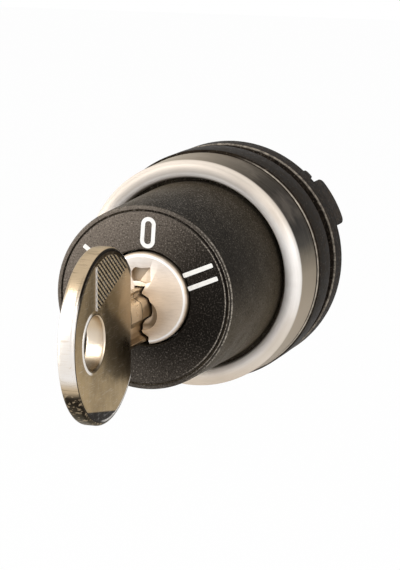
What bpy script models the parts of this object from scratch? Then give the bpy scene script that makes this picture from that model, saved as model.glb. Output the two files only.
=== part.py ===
"""Key-operated selector switch, front element for a 22 mm panel hole.

The lock axis is Y. The front faces -Y, +Z is up, and the origin lies on the lock axis in the
panel's front plane, which is the rear face of the gasket. Run it in Blender 4.5 from the text
editor or with: blender --background --python part.py
"""

import math

import bmesh
import bpy
from mathutils import Matrix, Vector

MM = 0.001

# Gaps: SEAT lies between pieces that rest on each other, RUN round pieces that turn or slide.
SEAT = 0.30 * MM
RUN = 0.20 * MM
PIN_RUN = 0.15 * MM

# Facets of a full turn for large rings, for lock parts, for pins and along a coil
RING_STEPS = 48
LOCK_STEPS = 32
PIN_STEPS = 12
COIL_STEPS = 8
WIRE_STEPS = 4

# Radii grow from the lock's plug outwards, each from the one inside it and a wall or a step.

# Panel side: the sleeve suits a 22.3 mm hole with a 3.2 mm notch at the top
PANEL_ROOM = 2.10 * MM
LUG_WIDTH = 3.0 * MM
LUG_HEIGHT = 1.80 * MM
LUG_REACH = 0.80 * MM

# Housing
FLANGE_STEP = 0.28 * MM
FLANGE_LENGTH = 5.0 * MM
FLANGE_CHAMFER = 0.35 * MM
SLEEVE_LENGTH = 15.0 * MM
SLEEVE_WALL = 1.45 * MM
SLEEVE_CHAMFER = 0.40 * MM
WEB_THICKNESS = 1.50 * MM
FRONT_WALL = 1.0 * MM
NECK_WALL = 1.10 * MM
SPIGOT_WALL = 0.70 * MM
SPIGOT_HEIGHT = 5.0 * MM
BEAD_HEIGHT = 0.25 * MM
BEAD_LENGTH = 1.20 * MM
BEAD_SETBACK = 1.40 * MM
CAVITY_STEP = 0.80 * MM
KEYING_RIB_WIDTH = 2.4 * MM
KEYING_RIB_HEIGHT = 1.0 * MM
KEYING_RIB_LENGTH = 6.0 * MM

# Gasket
GASKET_TO_RIM = 1.13 * MM
GASKET_THICKNESS = 1.50 * MM
GASKET_PROUD = 0.30 * MM

# Bezel ring
BEZEL_WALL = 0.67 * MM
BEZEL_DRAFT = 0.18 * MM
BEZEL_TO_COLLAR = 0.48 * MM
BEZEL_SKIRT = 5.73 * MM
BEZEL_NOSE = 1.0 * MM

# Dial collar
COLLAR_WALL = 1.19 * MM
COLLAR_FLARE = 0.49 * MM
COLLAR_FOOT_STEP = 0.82 * MM
COLLAR_FOOT_LENGTH = 2.40 * MM
COLLAR_FACE_THICKNESS = 2.0 * MM
COLLAR_EDGE = 0.20 * MM
DIAL_RIM_WIDTH = 0.50 * MM
DIAL_GROOVE_WIDTH = 0.22 * MM
DIAL_GROOVE_DEPTH = 0.25 * MM
DIAL_BORE_CHAMFER = 0.20 * MM

# Lock plug
PLUG_RADIUS = 5.35 * MM
PLUG_SHOULDER = 0.32 * MM
PLUG_PROUD = 0.55 * MM
PLUG_HEAD_LENGTH = 4.70 * MM
PLUG_CHAMFER = 0.35 * MM
TANG_THICKNESS = 2.40 * MM
TANG_WIDTH = 7.0 * MM
TANG_LENGTH = 3.0 * MM
CLIP_GROOVE_DEPTH = 1.0 * MM
CLIP_THICKNESS = 0.40 * MM
CLIP_WIDTH = 1.45 * MM
CLIP_OPENING = 70.0
POCKET_LEDGE_DEPTH = 0.35 * MM
POCKET_DEPTH = 0.80 * MM
# Each side of the pocket as (x, z) in millimetres; the slanting step is their shared edge
POCKET_LEDGE_MM = [(-0.45, 2.17), (0.45, 1.88), (1.06, 2.08), (1.02, 3.94), (0.86, 3.90)]
POCKET_DEEP_SIDE_MM = [(-0.42, 2.15), (0.90, 3.92), (-0.05, 3.79), (-0.84, 3.86)]
POCKET_DEEP_SIDE_MM += [(-1.13, 3.74), (-1.45, 3.28), (-1.45, 2.60), (-1.22, 2.11)]
RECESS_RADIUS = 1.90 * MM
RECESS_DROP = 2.0 * MM
RECESS_DEPTH = 0.45 * MM

# Lock cylinder and seals
CYLINDER_WALL = 2.95 * MM
PLUG_SEAL_WIRE = 0.90 * MM
CYLINDER_SEAL_WIRE = 0.80 * MM
CYLINDER_SEAL_SETBACK = 1.85 * MM
SEAL_GAP = 0.20 * MM

# Tumblers: one pin stack over each cut of the key
PIN_COUNT = 5
PIN_PITCH = 3.10 * MM
PIN_RADIUS = 1.10 * MM
PIN_TIP = 0.60 * MM
PIN_EDGE = 0.15 * MM
FIRST_PIN_BEHIND_HEAD = 2.40 * MM
LAST_PIN_TO_REAR = 4.10 * MM
KEY_PIN_GAP = 0.50 * MM
DRIVER_LENGTH = 1.10 * MM
PIN_BORE_CAP = 0.45 * MM
PIN_SPRING_WIRE = 0.26 * MM
PIN_SPRING_TURNS = 2.0
SPRING_END_GAP = 0.10 * MM

# Key
BOW_RADIUS = 10.45 * MM
BOW_THICKNESS = 2.10 * MM
BOW_EDGE = 0.50 * MM
BOW_DROP = 1.78 * MM
BOW_CENTRE_TO_SHOULDER = 8.08 * MM
SHOULDER_TO_PLUG = 6.30 * MM
RING_HOLE_RADIUS = 3.15 * MM
RING_HOLE_FORWARD = 4.14 * MM
RING_HOLE_CHAMFER = 0.15 * MM
RING_BEAD_WIDTH = 0.58 * MM
RING_BEAD_HEIGHT = 0.12 * MM
BLADE_PAST_PINS = 1.90 * MM
BLADE_ROOT = 1.20 * MM
TIP_TOP_CHAMFER = 1.20 * MM
TIP_BOTTOM_CHAMFER = 0.80 * MM
KEYWAY_GAP = 0.20 * MM
CUT_FLAT = 0.80 * MM
CUT_DEPTHS = [0.9 * MM, 0.4 * MM, 1.2 * MM, 0.7 * MM, 1.0 * MM]

BLADE_IN_BORE = 0.20 * MM

# Section of the blade across its length, as (x, z) in mm: the ribs by the plug's axis on each
# side, and between them the ribs by the blade's back, measured up from the back
RIGHT_RIBS_MM = [
    (0.02, 1.35), (-0.25, 0.92), (-0.25, 0.50), (0.62, 0.0), (0.78, -0.38), (0.93, -1.54),
    (0.84, -2.05),
]
BACK_RIBS_MM = [
    (0.05, 2.57), (-0.31, 1.95), (-0.31, 1.20), (-0.05, 0.77), (0.60, 0.37), (0.60, 0), (-0.85, 0),
    (-0.85, 2.55),
]
LEFT_RIBS_MM = [(-0.40, -2.25), (-0.40, -0.85), (-0.85, -0.50), (-0.85, 1.35)]

# Cam drum
DRUM_THICKNESS = 6.20 * MM
DRUM_WEB = 3.60 * MM
CAM_STROKE = 2.40 * MM
CAM_TURN = 60.0
CAM_LEDGE = 0.40 * MM
JOURNAL_STEP = 1.50 * MM
JOURNAL_WALL = 1.50 * MM
JOURNAL_BORE_DEPTH = 8.0 * MM

# Detents
DETENT_ANGLE = 30.0
DETENT_FROM_RIM = 1.70 * MM
DETENT_BALL_RADIUS = 0.95 * MM
DETENT_BORE_DEPTH = 4.60 * MM
DETENT_RUN = 0.10 * MM
DETENT_DIMPLE_RADIUS = 0.85 * MM
DETENT_DIMPLE = 0.40 * MM
DETENT_SPRING_WIRE = 0.25 * MM
DETENT_SPRING_TURNS = 4.0

# Plungers
PLUNGER_ROOM = 0.80 * MM
PLUNGER_RADIUS = 1.50 * MM
PLUNGER_TIP_GAP = 0.45 * MM
PLUNGER_FLANGE_RADIUS = 2.40 * MM
PLUNGER_FLANGE_SETBACK = 3.40 * MM
PLUNGER_FLANGE_THICKNESS = 1.0 * MM
PLUNGER_PROUD = 2.60 * MM
PLUNGER_EDGE = 0.25 * MM
PLUNGER_SPRING_WIRE = 0.40 * MM
PLUNGER_SPRING_TURNS = 5.0

# Rear cover
COVER_THICKNESS = 2.30 * MM
SPRING_POCKET_DEPTH = 0.60 * MM
TAB_WIDTH = 2.80 * MM
TAB_LENGTH = 1.20 * MM
TAB_HEIGHT = 1.10 * MM

# Ring nut
NUT_STEP = 0.04 * MM
NUT_THICKNESS = 2.88 * MM
NUT_CHAMFER = 0.25 * MM
NUT_LUG_COUNT = 3
NUT_LUG_WALL = 2.10 * MM
NUT_LUG_HEIGHT = 3.20 * MM
NUT_LUG_START = 46.0
NUT_LUG_ANGLE = 27.0
NUT_LUG_CORNER = 1.6
NIB_START = 39.5
NIB_ANGLE = 5.0
NIB_HEIGHT = 0.90 * MM
LUG_DRAFT = 0.4

# Radii that follow, from the plug outwards
SIDES = [("left", -1), ("right", 1)]
PLUG_HEAD_RADIUS = PLUG_RADIUS + PLUG_SHOULDER
CYLINDER_BORE = PLUG_RADIUS + RUN
CYLINDER_RADIUS = CYLINDER_BORE + CYLINDER_WALL
NECK_BORE = CYLINDER_RADIUS + SEAT
NECK_RADIUS = NECK_BORE + NECK_WALL
COLLAR_HOLE = PLUG_HEAD_RADIUS + SEAT
COLLAR_BORE = NECK_RADIUS + SEAT
COLLAR_FRONT_RADIUS = COLLAR_BORE + COLLAR_WALL
COLLAR_REAR_RADIUS = COLLAR_FRONT_RADIUS + COLLAR_FLARE
COLLAR_FOOT_RADIUS = COLLAR_REAR_RADIUS + COLLAR_FOOT_STEP
SPIGOT_BORE = COLLAR_FOOT_RADIUS + SEAT
SPIGOT_RADIUS = SPIGOT_BORE + SPIGOT_WALL
BEZEL_INNER_RADIUS = COLLAR_REAR_RADIUS + BEZEL_TO_COLLAR
BEZEL_BORE = SPIGOT_RADIUS + SEAT
BEZEL_SHOULDER_RADIUS = BEZEL_BORE + BEZEL_WALL
BEZEL_RADIUS = BEZEL_SHOULDER_RADIUS + BEZEL_DRAFT
FLANGE_RADIUS = BEZEL_RADIUS + FLANGE_STEP
NUT_RADIUS = FLANGE_RADIUS - NUT_STEP
SLEEVE_BORE = NECK_BORE + CAVITY_STEP
SLEEVE_RADIUS = SLEEVE_BORE + SLEEVE_WALL
LUG_TOP = SLEEVE_RADIUS + LUG_HEIGHT
GASKET_INNER = SLEEVE_RADIUS + SEAT
GASKET_OUTER = FLANGE_RADIUS - GASKET_TO_RIM
CLIP_BORE = PLUG_RADIUS - CLIP_GROOVE_DEPTH + RUN
CLIP_RADIUS = CLIP_BORE + CLIP_WIDTH
WEB_HOLE = CLIP_RADIUS + SEAT
PLUG_SEAL_RADIUS = PLUG_HEAD_RADIUS + SEAL_GAP + PLUG_SEAL_WIRE / 2
CYLINDER_SEAL_RADIUS = CYLINDER_RADIUS - CYLINDER_SEAL_WIRE / 2
PIN_BORE = PIN_RADIUS + PIN_RUN
PIN_BORE_TOP = CYLINDER_RADIUS - PIN_BORE_CAP
DRUM_RADIUS = SLEEVE_BORE - SEAT
DETENT_OFFSET = DRUM_RADIUS - DETENT_FROM_RIM
DETENT_BORE = DETENT_BALL_RADIUS + DETENT_RUN
DETENT_TURNS = [180.0 - DETENT_ANGLE, 180.0 + DETENT_ANGLE]
PLUNGER_OFFSET = SLEEVE_BORE - PLUNGER_ROOM - PLUNGER_FLANGE_RADIUS
CAM_INNER_RADIUS = PLUNGER_OFFSET - PLUNGER_RADIUS - CAM_LEDGE
JOURNAL_RADIUS = CAM_INNER_RADIUS - JOURNAL_STEP
PLUNGER_SPRING_RADIUS = PLUNGER_RADIUS + RUN + PLUNGER_SPRING_WIRE / 2
SPRING_POCKET = PLUNGER_SPRING_RADIUS + PLUNGER_SPRING_WIRE / 2 + RUN

# Places along the axis that follow: the flange from the panel, the lock from its pins
FLANGE_REAR = -GASKET_PROUD
FLANGE_FRONT = FLANGE_REAR - FLANGE_LENGTH
WEB_REAR = FLANGE_FRONT + FRONT_WALL
WEB_FRONT = WEB_REAR - WEB_THICKNESS
CYLINDER_REAR = WEB_FRONT - SEAT
LAST_PIN = CYLINDER_REAR - LAST_PIN_TO_REAR
PIN_PLACES = [LAST_PIN - (PIN_COUNT - 1 - i) * PIN_PITCH for i in range(PIN_COUNT)]
PLUG_HEAD_REAR = PIN_PLACES[0] - FIRST_PIN_BEHIND_HEAD
PLUG_FRONT = PLUG_HEAD_REAR - PLUG_HEAD_LENGTH
COLLAR_FRONT = PLUG_FRONT + PLUG_PROUD
COLLAR_FACE_REAR = COLLAR_FRONT + COLLAR_FACE_THICKNESS
CYLINDER_FRONT = COLLAR_FACE_REAR + SEAT
NECK_FRONT = CYLINDER_FRONT
PLUG_SEAL_PLACE = CYLINDER_FRONT + PLUG_SEAL_WIRE / 2 + SEAL_GAP / 2
CYLINDER_SEAL_PLACE = CYLINDER_FRONT + CYLINDER_SEAL_SETBACK
CLIP_FRONT = CYLINDER_REAR + SEAT
CLIP_REAR = CLIP_FRONT + CLIP_THICKNESS
BEZEL_REAR = FLANGE_FRONT - SEAT
BEZEL_SHOULDER = BEZEL_REAR - BEZEL_SKIRT
SPIGOT_FRONT = FLANGE_FRONT - SPIGOT_HEIGHT
BEZEL_LIP_REAR = SPIGOT_FRONT - SEAT
BEAD_REAR = FLANGE_FRONT - BEAD_SETBACK
BEAD_FRONT = BEAD_REAR - BEAD_LENGTH
COLLAR_REAR = FLANGE_FRONT - SEAT
COLLAR_FOOT_FRONT = BEZEL_LIP_REAR + SEAT
COLLAR_FOOT_REAR = COLLAR_FOOT_FRONT + COLLAR_FOOT_LENGTH
DRUM_FRONT = WEB_REAR + SEAT
DRUM_FLOOR = DRUM_FRONT + DRUM_WEB
CAM_MIDDLE = DRUM_FRONT + DRUM_THICKNESS
PLUG_REAR = DRUM_FRONT - SEAT
COVER_REAR = SLEEVE_LENGTH
COVER_FRONT = COVER_REAR - COVER_THICKNESS
PLUNGER_TIP = CAM_MIDDLE + PLUNGER_TIP_GAP
PLUNGER_FLANGE_FRONT = PLUNGER_TIP + PLUNGER_FLANGE_SETBACK
PLUNGER_FLANGE_REAR = PLUNGER_FLANGE_FRONT + PLUNGER_FLANGE_THICKNESS
NUT_FRONT = PANEL_ROOM
NUT_REAR = NUT_FRONT + NUT_THICKNESS
SHOULDER = PLUG_FRONT - SHOULDER_TO_PLUG
BOW_CENTRE = SHOULDER - BOW_CENTRE_TO_SHOULDER
BLADE_TIP = LAST_PIN + BLADE_PAST_PINS
BLADE_BOTTOM = BLADE_IN_BORE - PLUG_RADIUS
BLADE_SECTION = [(x * MM, z * MM) for x, z in RIGHT_RIBS_MM]
BLADE_SECTION += [(x * MM, z * MM + BLADE_BOTTOM) for x, z in BACK_RIBS_MM]
BLADE_SECTION += [(x * MM, z * MM) for x, z in LEFT_RIBS_MM]
BLADE_TOP = max(z for x, z in BLADE_SECTION)


def clear_scene():
    """Remove what is in the file, so that the script can be run again."""
    for thing in list(bpy.data.objects):
        bpy.data.objects.remove(thing, do_unlink=True)
    for mesh in list(bpy.data.meshes):
        bpy.data.meshes.remove(mesh)
    for material in list(bpy.data.materials):
        bpy.data.materials.remove(material)


def make_material(name, colour, roughness, metallic=0.0):
    material = bpy.data.materials.new(name)
    material.use_nodes = True
    shader = material.node_tree.nodes["Principled BSDF"]
    shader.inputs["Base Color"].default_value = (*colour, 1.0)
    shader.inputs["Roughness"].default_value = roughness
    shader.inputs["Metallic"].default_value = metallic
    material.diffuse_color = (*colour, 1.0)
    return material


def finish_mesh(bm, name, material=None, origin=(0, 0, 0)):
    """Weld, face outwards, shade smooth with sharp edges kept, and link the object."""
    bmesh.ops.remove_doubles(bm, verts=bm.verts, dist=0.000001)
    bmesh.ops.recalc_face_normals(bm, faces=bm.faces)
    bmesh.ops.translate(bm, verts=bm.verts, vec=-Vector(origin))
    mesh = bpy.data.meshes.new(name)
    bm.to_mesh(mesh)
    bm.free()
    mesh.shade_smooth()
    mesh.set_sharp_from_angle(angle=math.radians(35))
    if material:
        mesh.materials.append(material)
    thing = bpy.data.objects.new(name, mesh)
    thing.location = origin
    bpy.context.scene.collection.objects.link(thing)
    return thing


def even_angles(steps):
    return [360.0 * i / steps for i in range(steps)]


def add_turned(bm, outline, angles, place=None):
    """Turn a closed outline of (radius, y) round the Y axis. A y may depend on the angle.

    The angles are in degrees, from +Z towards +X.
    """
    rings = []
    for radius, y in outline:
        ring = []
        for angle in angles:
            turn = math.radians(angle)
            height = y(angle) if callable(y) else y
            ring.append((radius * math.sin(turn), height, radius * math.cos(turn)))
        if radius < 1e-7:
            rings.append([bm.verts.new(ring[0])] * len(angles))
        else:
            rings.append([bm.verts.new(point) for point in ring])
    for j, here in enumerate(rings):
        after = rings[(j + 1) % len(rings)]
        for i in range(len(angles)):
            k = (i + 1) % len(angles)
            corners = []
            for vert in (here[i], here[k], after[k], after[i]):
                if vert not in corners:
                    corners.append(vert)
            if len(corners) > 2:
                bm.faces.new(corners)
    if place:
        made = {vert for ring in rings for vert in ring}
        bmesh.ops.transform(bm, matrix=place, verts=list(made))


def turned(name, outline, steps, material, origin=(0, 0, 0)):
    """A round piece with its axis along Y through its origin."""
    bm = bmesh.new()
    add_turned(bm, outline, even_angles(steps), Matrix.Translation(origin))
    return finish_mesh(bm, name, material, origin)


def add_layers(bm, layers):
    """Close a body through rows of points that correspond, with a face on its first and last."""
    rows = [[bm.verts.new(point) for point in layer] for layer in layers]
    bm.faces.new(rows[0])
    bm.faces.new(rows[-1])
    for here, after in zip(rows, rows[1:]):
        for i in range(len(here)):
            k = (i + 1) % len(here)
            bm.faces.new((here[i], here[k], after[k], after[i]))


def add_prism_x(bm, outline, low, high):
    """Extrude a closed outline of (y, z) along X."""
    add_layers(bm, [[(x, y, z) for y, z in outline] for x in (low, high)])


def add_prism_y(bm, outline, low, high):
    """Extrude a closed outline of (x, z) along Y."""
    add_layers(bm, [[(x, y, z) for x, z in outline] for y in (low, high)])


def add_box(bm, x, y, z):
    """A box from (low, high) pairs."""
    add_prism_y(bm, [(x[0], z[0]), (x[1], z[0]), (x[1], z[1]), (x[0], z[1])], y[0], y[1])


def add_upright_bore(bm, x, y, radius, low, high):
    """A round bore along Z."""
    place = Matrix.Translation((x, y, 0)) @ Matrix.Rotation(math.radians(90), 4, "X")
    outline = [(0, low), (radius, low), (radius, high), (0, high)]
    add_turned(bm, outline, even_angles(PIN_STEPS), place)


def arc(centre_radius, centre_y, radius_out, radius_along, start, end, steps):
    """Points (radius, y) of an arc or part ellipse. 0 degrees is outwards, 90 to the rear."""
    points = []
    for i in range(steps + 1):
        turn = math.radians(start + (end - start) * i / steps)
        out = centre_radius + radius_out * math.cos(turn)
        points.append((out, centre_y + radius_along * math.sin(turn)))
    return points


def offset_outline(outline, distance):
    """Move each side of a closed outline outwards by the distance, with mitred corners."""
    area = sum(a[0] * b[1] - b[0] * a[1] for a, b in zip(outline, outline[1:] + outline[:1]))
    side = distance if area > 0 else -distance
    moved = []
    for i, corner in enumerate(outline):
        before = Vector(corner) - Vector(outline[i - 1])
        after = Vector(outline[(i + 1) % len(outline)]) - Vector(corner)
        before.normalize()
        after.normalize()
        normal_before = Vector((before.y, -before.x))
        normal_after = Vector((after.y, -after.x))
        middle = normal_before + normal_after
        middle *= side / (1 + normal_before.dot(normal_after))
        moved.append((corner[0] + middle.x, corner[1] + middle.y))
    return moved


def coil(name, start, end, radius, wire, turns, material, origin=(0, 0, 0), upright=False):
    """A coil spring of round wire, along Y from its origin, or along Z where it is upright."""
    count = round(turns * COIL_STEPS)
    length = end - start - wire
    layers = []
    for i in range(count + 1):
        turn = 2 * math.pi * i / COIL_STEPS
        middle = start + wire / 2 + length * i / count
        layer = []
        for j in range(WIRE_STEPS):
            tilt = 2 * math.pi * j / WIRE_STEPS
            out = radius + math.cos(tilt) * wire / 2
            along = middle + math.sin(tilt) * wire / 2
            layer.append((out * math.sin(turn), along, out * math.cos(turn)))
        layers.append(layer)
    bm = bmesh.new()
    add_layers(bm, layers)
    if upright:
        turn = Matrix.Rotation(math.radians(90), 3, "X")
        bmesh.ops.rotate(bm, verts=bm.verts, cent=(0, 0, 0), matrix=turn)
    bmesh.ops.translate(bm, verts=bm.verts, vec=origin)
    return finish_mesh(bm, name, material, origin)


def combine(thing, bm, name, operation):
    """Cut a tool mesh from an object, or join it on, with a live Boolean."""
    tool = finish_mesh(bm, name)
    tool.hide_render = True
    tool.display_type = "WIRE"
    step = thing.modifiers.new(name, "BOOLEAN")
    step.operation = operation
    step.solver = "EXACT"
    step.object = tool


def make_housing():
    """One moulding: flange, spigot for the bezel, neck for the lock, and the sleeve behind."""
    profile = [
        (NECK_BORE, NECK_FRONT),
        (NECK_RADIUS - COLLAR_EDGE, NECK_FRONT),
        (NECK_RADIUS, NECK_FRONT + COLLAR_EDGE),
        (NECK_RADIUS, FLANGE_FRONT),
        (SPIGOT_BORE, FLANGE_FRONT),
        (SPIGOT_BORE, SPIGOT_FRONT),
        (SPIGOT_RADIUS, SPIGOT_FRONT),
        (SPIGOT_RADIUS, BEAD_FRONT),
        (SPIGOT_RADIUS + BEAD_HEIGHT, BEAD_FRONT + BEAD_HEIGHT),
        (SPIGOT_RADIUS + BEAD_HEIGHT, BEAD_REAR - BEAD_HEIGHT),
        (SPIGOT_RADIUS, BEAD_REAR),
        (SPIGOT_RADIUS, FLANGE_FRONT),
        (FLANGE_RADIUS - FLANGE_CHAMFER, FLANGE_FRONT),
        (FLANGE_RADIUS, FLANGE_FRONT + FLANGE_CHAMFER),
        (FLANGE_RADIUS, FLANGE_REAR),
        (GASKET_OUTER + SEAT, FLANGE_REAR),
        (GASKET_OUTER + SEAT, -GASKET_THICKNESS - SEAT),
        (SLEEVE_RADIUS, -GASKET_THICKNESS - SEAT),
        (SLEEVE_RADIUS, SLEEVE_LENGTH - SLEEVE_CHAMFER),
        (SLEEVE_RADIUS - SLEEVE_CHAMFER, SLEEVE_LENGTH),
        (SLEEVE_BORE, SLEEVE_LENGTH),
        (SLEEVE_BORE, WEB_REAR),
        (WEB_HOLE, WEB_REAR),
        (WEB_HOLE, WEB_FRONT),
        (NECK_BORE, WEB_FRONT),
    ]
    black = make_material("housing_black", (0.012, 0.011, 0.010), 0.45)
    housing = turned("housing", profile, RING_STEPS, black)

    # Lug for the panel notch, and a rib in the spigot that keeps the dial upright
    bm = bmesh.new()
    half = LUG_WIDTH / 2
    lug_root = -GASKET_THICKNESS - 2 * SEAT
    add_box(bm, (-half, half), (lug_root, LUG_REACH), (SLEEVE_BORE + SLEEVE_WALL / 2, LUG_TOP))
    half = KEYING_RIB_WIDTH / 2
    rib_low = COLLAR_REAR_RADIUS + SEAT
    rib_front = SPIGOT_FRONT + SEAT
    add_box(bm, (-half, half), (rib_front, FLANGE_FRONT + SEAT), (rib_low, SPIGOT_RADIUS - SPIGOT_WALL / 2))
    combine(housing, bm, "housing_add", "UNION")

    # Slot for the cylinder's rib, slots for the cover's tabs, and the detent dimples
    bm = bmesh.new()
    half = KEYING_RIB_WIDTH / 2 + SEAT
    slot_end = NECK_FRONT + KEYING_RIB_LENGTH + SEAT
    below = -NECK_RADIUS - SEAT
    add_box(bm, (-half, half), (NECK_FRONT - SEAT, slot_end), (below, -NECK_BORE + 2 * SEAT))
    half = TAB_WIDTH / 2 + SEAT
    tab_place = (COVER_FRONT + SEAT, COVER_FRONT + 3 * SEAT + TAB_LENGTH)
    low, high = SLEEVE_BORE - SEAT, SLEEVE_RADIUS + SEAT
    for across in ((low, high), (-high, -low)):
        add_box(bm, (-half, half), tab_place, across)
    for angle in detent_stops():
        place = round_the_axis(angle, DETENT_OFFSET)
        cone = [
            (0, WEB_REAR - DETENT_DIMPLE),
            (DETENT_DIMPLE_RADIUS / 2, WEB_REAR - DETENT_DIMPLE),
            (DETENT_DIMPLE_RADIUS, WEB_REAR),
            (DETENT_DIMPLE_RADIUS, WEB_REAR + SEAT),
            (0, WEB_REAR + SEAT),
        ]
        add_turned(bm, cone, even_angles(PIN_STEPS), Matrix.Translation(place))
    combine(housing, bm, "housing_cut", "DIFFERENCE")


def round_the_axis(angle, radius):
    """A point at a distance from the lock axis, the angle in degrees from +Z towards +X."""
    turn = math.radians(angle)
    return Vector((radius * math.sin(turn), 0, radius * math.cos(turn)))


def detent_stops():
    """Where the two balls stand at the three stops of the key."""
    return sorted({start + stop for start in DETENT_TURNS for stop in (-CAM_TURN, 0.0, CAM_TURN)})


def make_gasket():
    profile = [
        (GASKET_INNER, -GASKET_THICKNESS),
        (GASKET_OUTER, -GASKET_THICKNESS),
        (GASKET_OUTER, 0),
        (GASKET_INNER, 0),
    ]
    rubber = make_material("gasket_rubber", (0.018, 0.018, 0.018), 0.8)
    gasket = turned("panel_gasket", profile, RING_STEPS, rubber)
    bm = bmesh.new()
    half = LUG_WIDTH / 2 + SEAT
    add_box(bm, (-half, half), (-GASKET_THICKNESS - SEAT, SEAT), (GASKET_INNER - SEAT, LUG_TOP + SEAT))
    combine(gasket, bm, "gasket_notch", "DIFFERENCE")


def make_bezel():
    """Satin ring: nearly straight skirt, half-round nose, and a lip that holds the dial's foot."""
    groove = BEAD_HEIGHT + SEAT
    middle = (BEZEL_INNER_RADIUS + BEZEL_SHOULDER_RADIUS) / 2
    half = (BEZEL_SHOULDER_RADIUS - BEZEL_INNER_RADIUS) / 2
    profile = [(BEZEL_RADIUS, BEZEL_REAR)]
    profile += arc(middle, BEZEL_SHOULDER, half, BEZEL_NOSE, 0, -180, 10)
    profile += [
        (BEZEL_INNER_RADIUS, BEZEL_LIP_REAR),
        (BEZEL_BORE, BEZEL_LIP_REAR),
        (BEZEL_BORE, BEAD_FRONT - groove + BEAD_HEIGHT),
        (BEZEL_BORE + BEAD_HEIGHT, BEAD_FRONT - SEAT + BEAD_HEIGHT),
        (BEZEL_BORE + BEAD_HEIGHT, BEAD_REAR + SEAT - BEAD_HEIGHT),
        (BEZEL_BORE, BEAD_REAR + SEAT),
        (BEZEL_BORE, BEZEL_REAR),
    ]
    satin = make_material("bezel_satin", (0.55, 0.53, 0.50), 0.3, 0.85)
    turned("bezel_ring", profile, RING_STEPS, satin)


def make_collar():
    """The dial: a front wall with a rim, a flared side, and a foot behind the bezel's lip."""
    rim = COLLAR_FRONT_RADIUS - DIAL_RIM_WIDTH
    profile = [
        (COLLAR_HOLE + DIAL_BORE_CHAMFER, COLLAR_FRONT),
        (rim - DIAL_GROOVE_WIDTH, COLLAR_FRONT),
        (rim - DIAL_GROOVE_WIDTH, COLLAR_FRONT + DIAL_GROOVE_DEPTH),
        (rim, COLLAR_FRONT + DIAL_GROOVE_DEPTH),
        (rim, COLLAR_FRONT),
        (COLLAR_FRONT_RADIUS - COLLAR_EDGE, COLLAR_FRONT),
        (COLLAR_FRONT_RADIUS, COLLAR_FRONT + COLLAR_EDGE),
        (COLLAR_REAR_RADIUS, COLLAR_FOOT_FRONT),
        (COLLAR_FOOT_RADIUS, COLLAR_FOOT_FRONT),
        (COLLAR_FOOT_RADIUS, COLLAR_FOOT_REAR),
        (COLLAR_REAR_RADIUS, COLLAR_FOOT_REAR),
        (COLLAR_REAR_RADIUS, COLLAR_REAR),
        (COLLAR_BORE, COLLAR_REAR),
        (COLLAR_BORE, COLLAR_FACE_REAR),
        (COLLAR_HOLE, COLLAR_FACE_REAR),
        (COLLAR_HOLE, COLLAR_FRONT + DIAL_BORE_CHAMFER),
    ]
    black = make_material("collar_black", (0.020, 0.018, 0.016), 0.55)
    collar = turned("collar", profile, RING_STEPS, black)
    bm = bmesh.new()
    half = KEYING_RIB_WIDTH / 2 + SEAT
    notch = (COLLAR_FOOT_FRONT - SEAT, COLLAR_FOOT_REAR + SEAT)
    add_box(bm, (-half, half), notch, (COLLAR_REAR_RADIUS - DIAL_BORE_CHAMFER / 4, COLLAR_FOOT_RADIUS + SEAT))
    combine(collar, bm, "collar_notch", "DIFFERENCE")


def make_lock_cylinder():
    """Metal body of the lock, with the upper pin bores and grooves for both seals."""
    head_bore = PLUG_HEAD_RADIUS + RUN
    seal_bore = PLUG_SEAL_RADIUS + PLUG_SEAL_WIRE / 2 + SEAL_GAP
    seal_floor = PLUG_SEAL_PLACE + PLUG_SEAL_WIRE / 2 + SEAL_GAP / 2
    groove_floor = CYLINDER_RADIUS - CYLINDER_SEAL_WIRE - SEAL_GAP
    groove_half = CYLINDER_SEAL_WIRE / 2 + SEAL_GAP
    profile = [
        (seal_bore, CYLINDER_FRONT),
        (CYLINDER_RADIUS, CYLINDER_FRONT),
        (CYLINDER_RADIUS, CYLINDER_SEAL_PLACE - groove_half),
        (groove_floor, CYLINDER_SEAL_PLACE - groove_half),
        (groove_floor, CYLINDER_SEAL_PLACE + groove_half),
        (CYLINDER_RADIUS, CYLINDER_SEAL_PLACE + groove_half),
        (CYLINDER_RADIUS, CYLINDER_REAR),
        (CYLINDER_BORE, CYLINDER_REAR),
        (CYLINDER_BORE, PLUG_HEAD_REAR + SEAT),
        (head_bore, PLUG_HEAD_REAR + SEAT),
        (head_bore, seal_floor),
        (seal_bore, seal_floor),
    ]
    metal = make_material("cylinder_zinc", (0.45, 0.44, 0.42), 0.4, 0.9)
    cylinder = turned("lock_cylinder", profile, LOCK_STEPS, metal)
    bm = bmesh.new()
    half = KEYING_RIB_WIDTH / 2
    rib_front = CYLINDER_SEAL_PLACE + groove_half + SEAT
    rib_rear = NECK_FRONT + KEYING_RIB_LENGTH
    rib_low = -CYLINDER_RADIUS - KEYING_RIB_HEIGHT
    add_box(bm, (-half, half), (rib_front, rib_rear), (rib_low, -CYLINDER_RADIUS + SEAT))
    combine(cylinder, bm, "cylinder_rib", "UNION")
    bm = bmesh.new()
    for place in PIN_PLACES:
        add_upright_bore(bm, 0, place, PIN_BORE, CYLINDER_BORE - 3 * SEAT, PIN_BORE_TOP)
    combine(cylinder, bm, "cylinder_bores", "DIFFERENCE")


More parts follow.
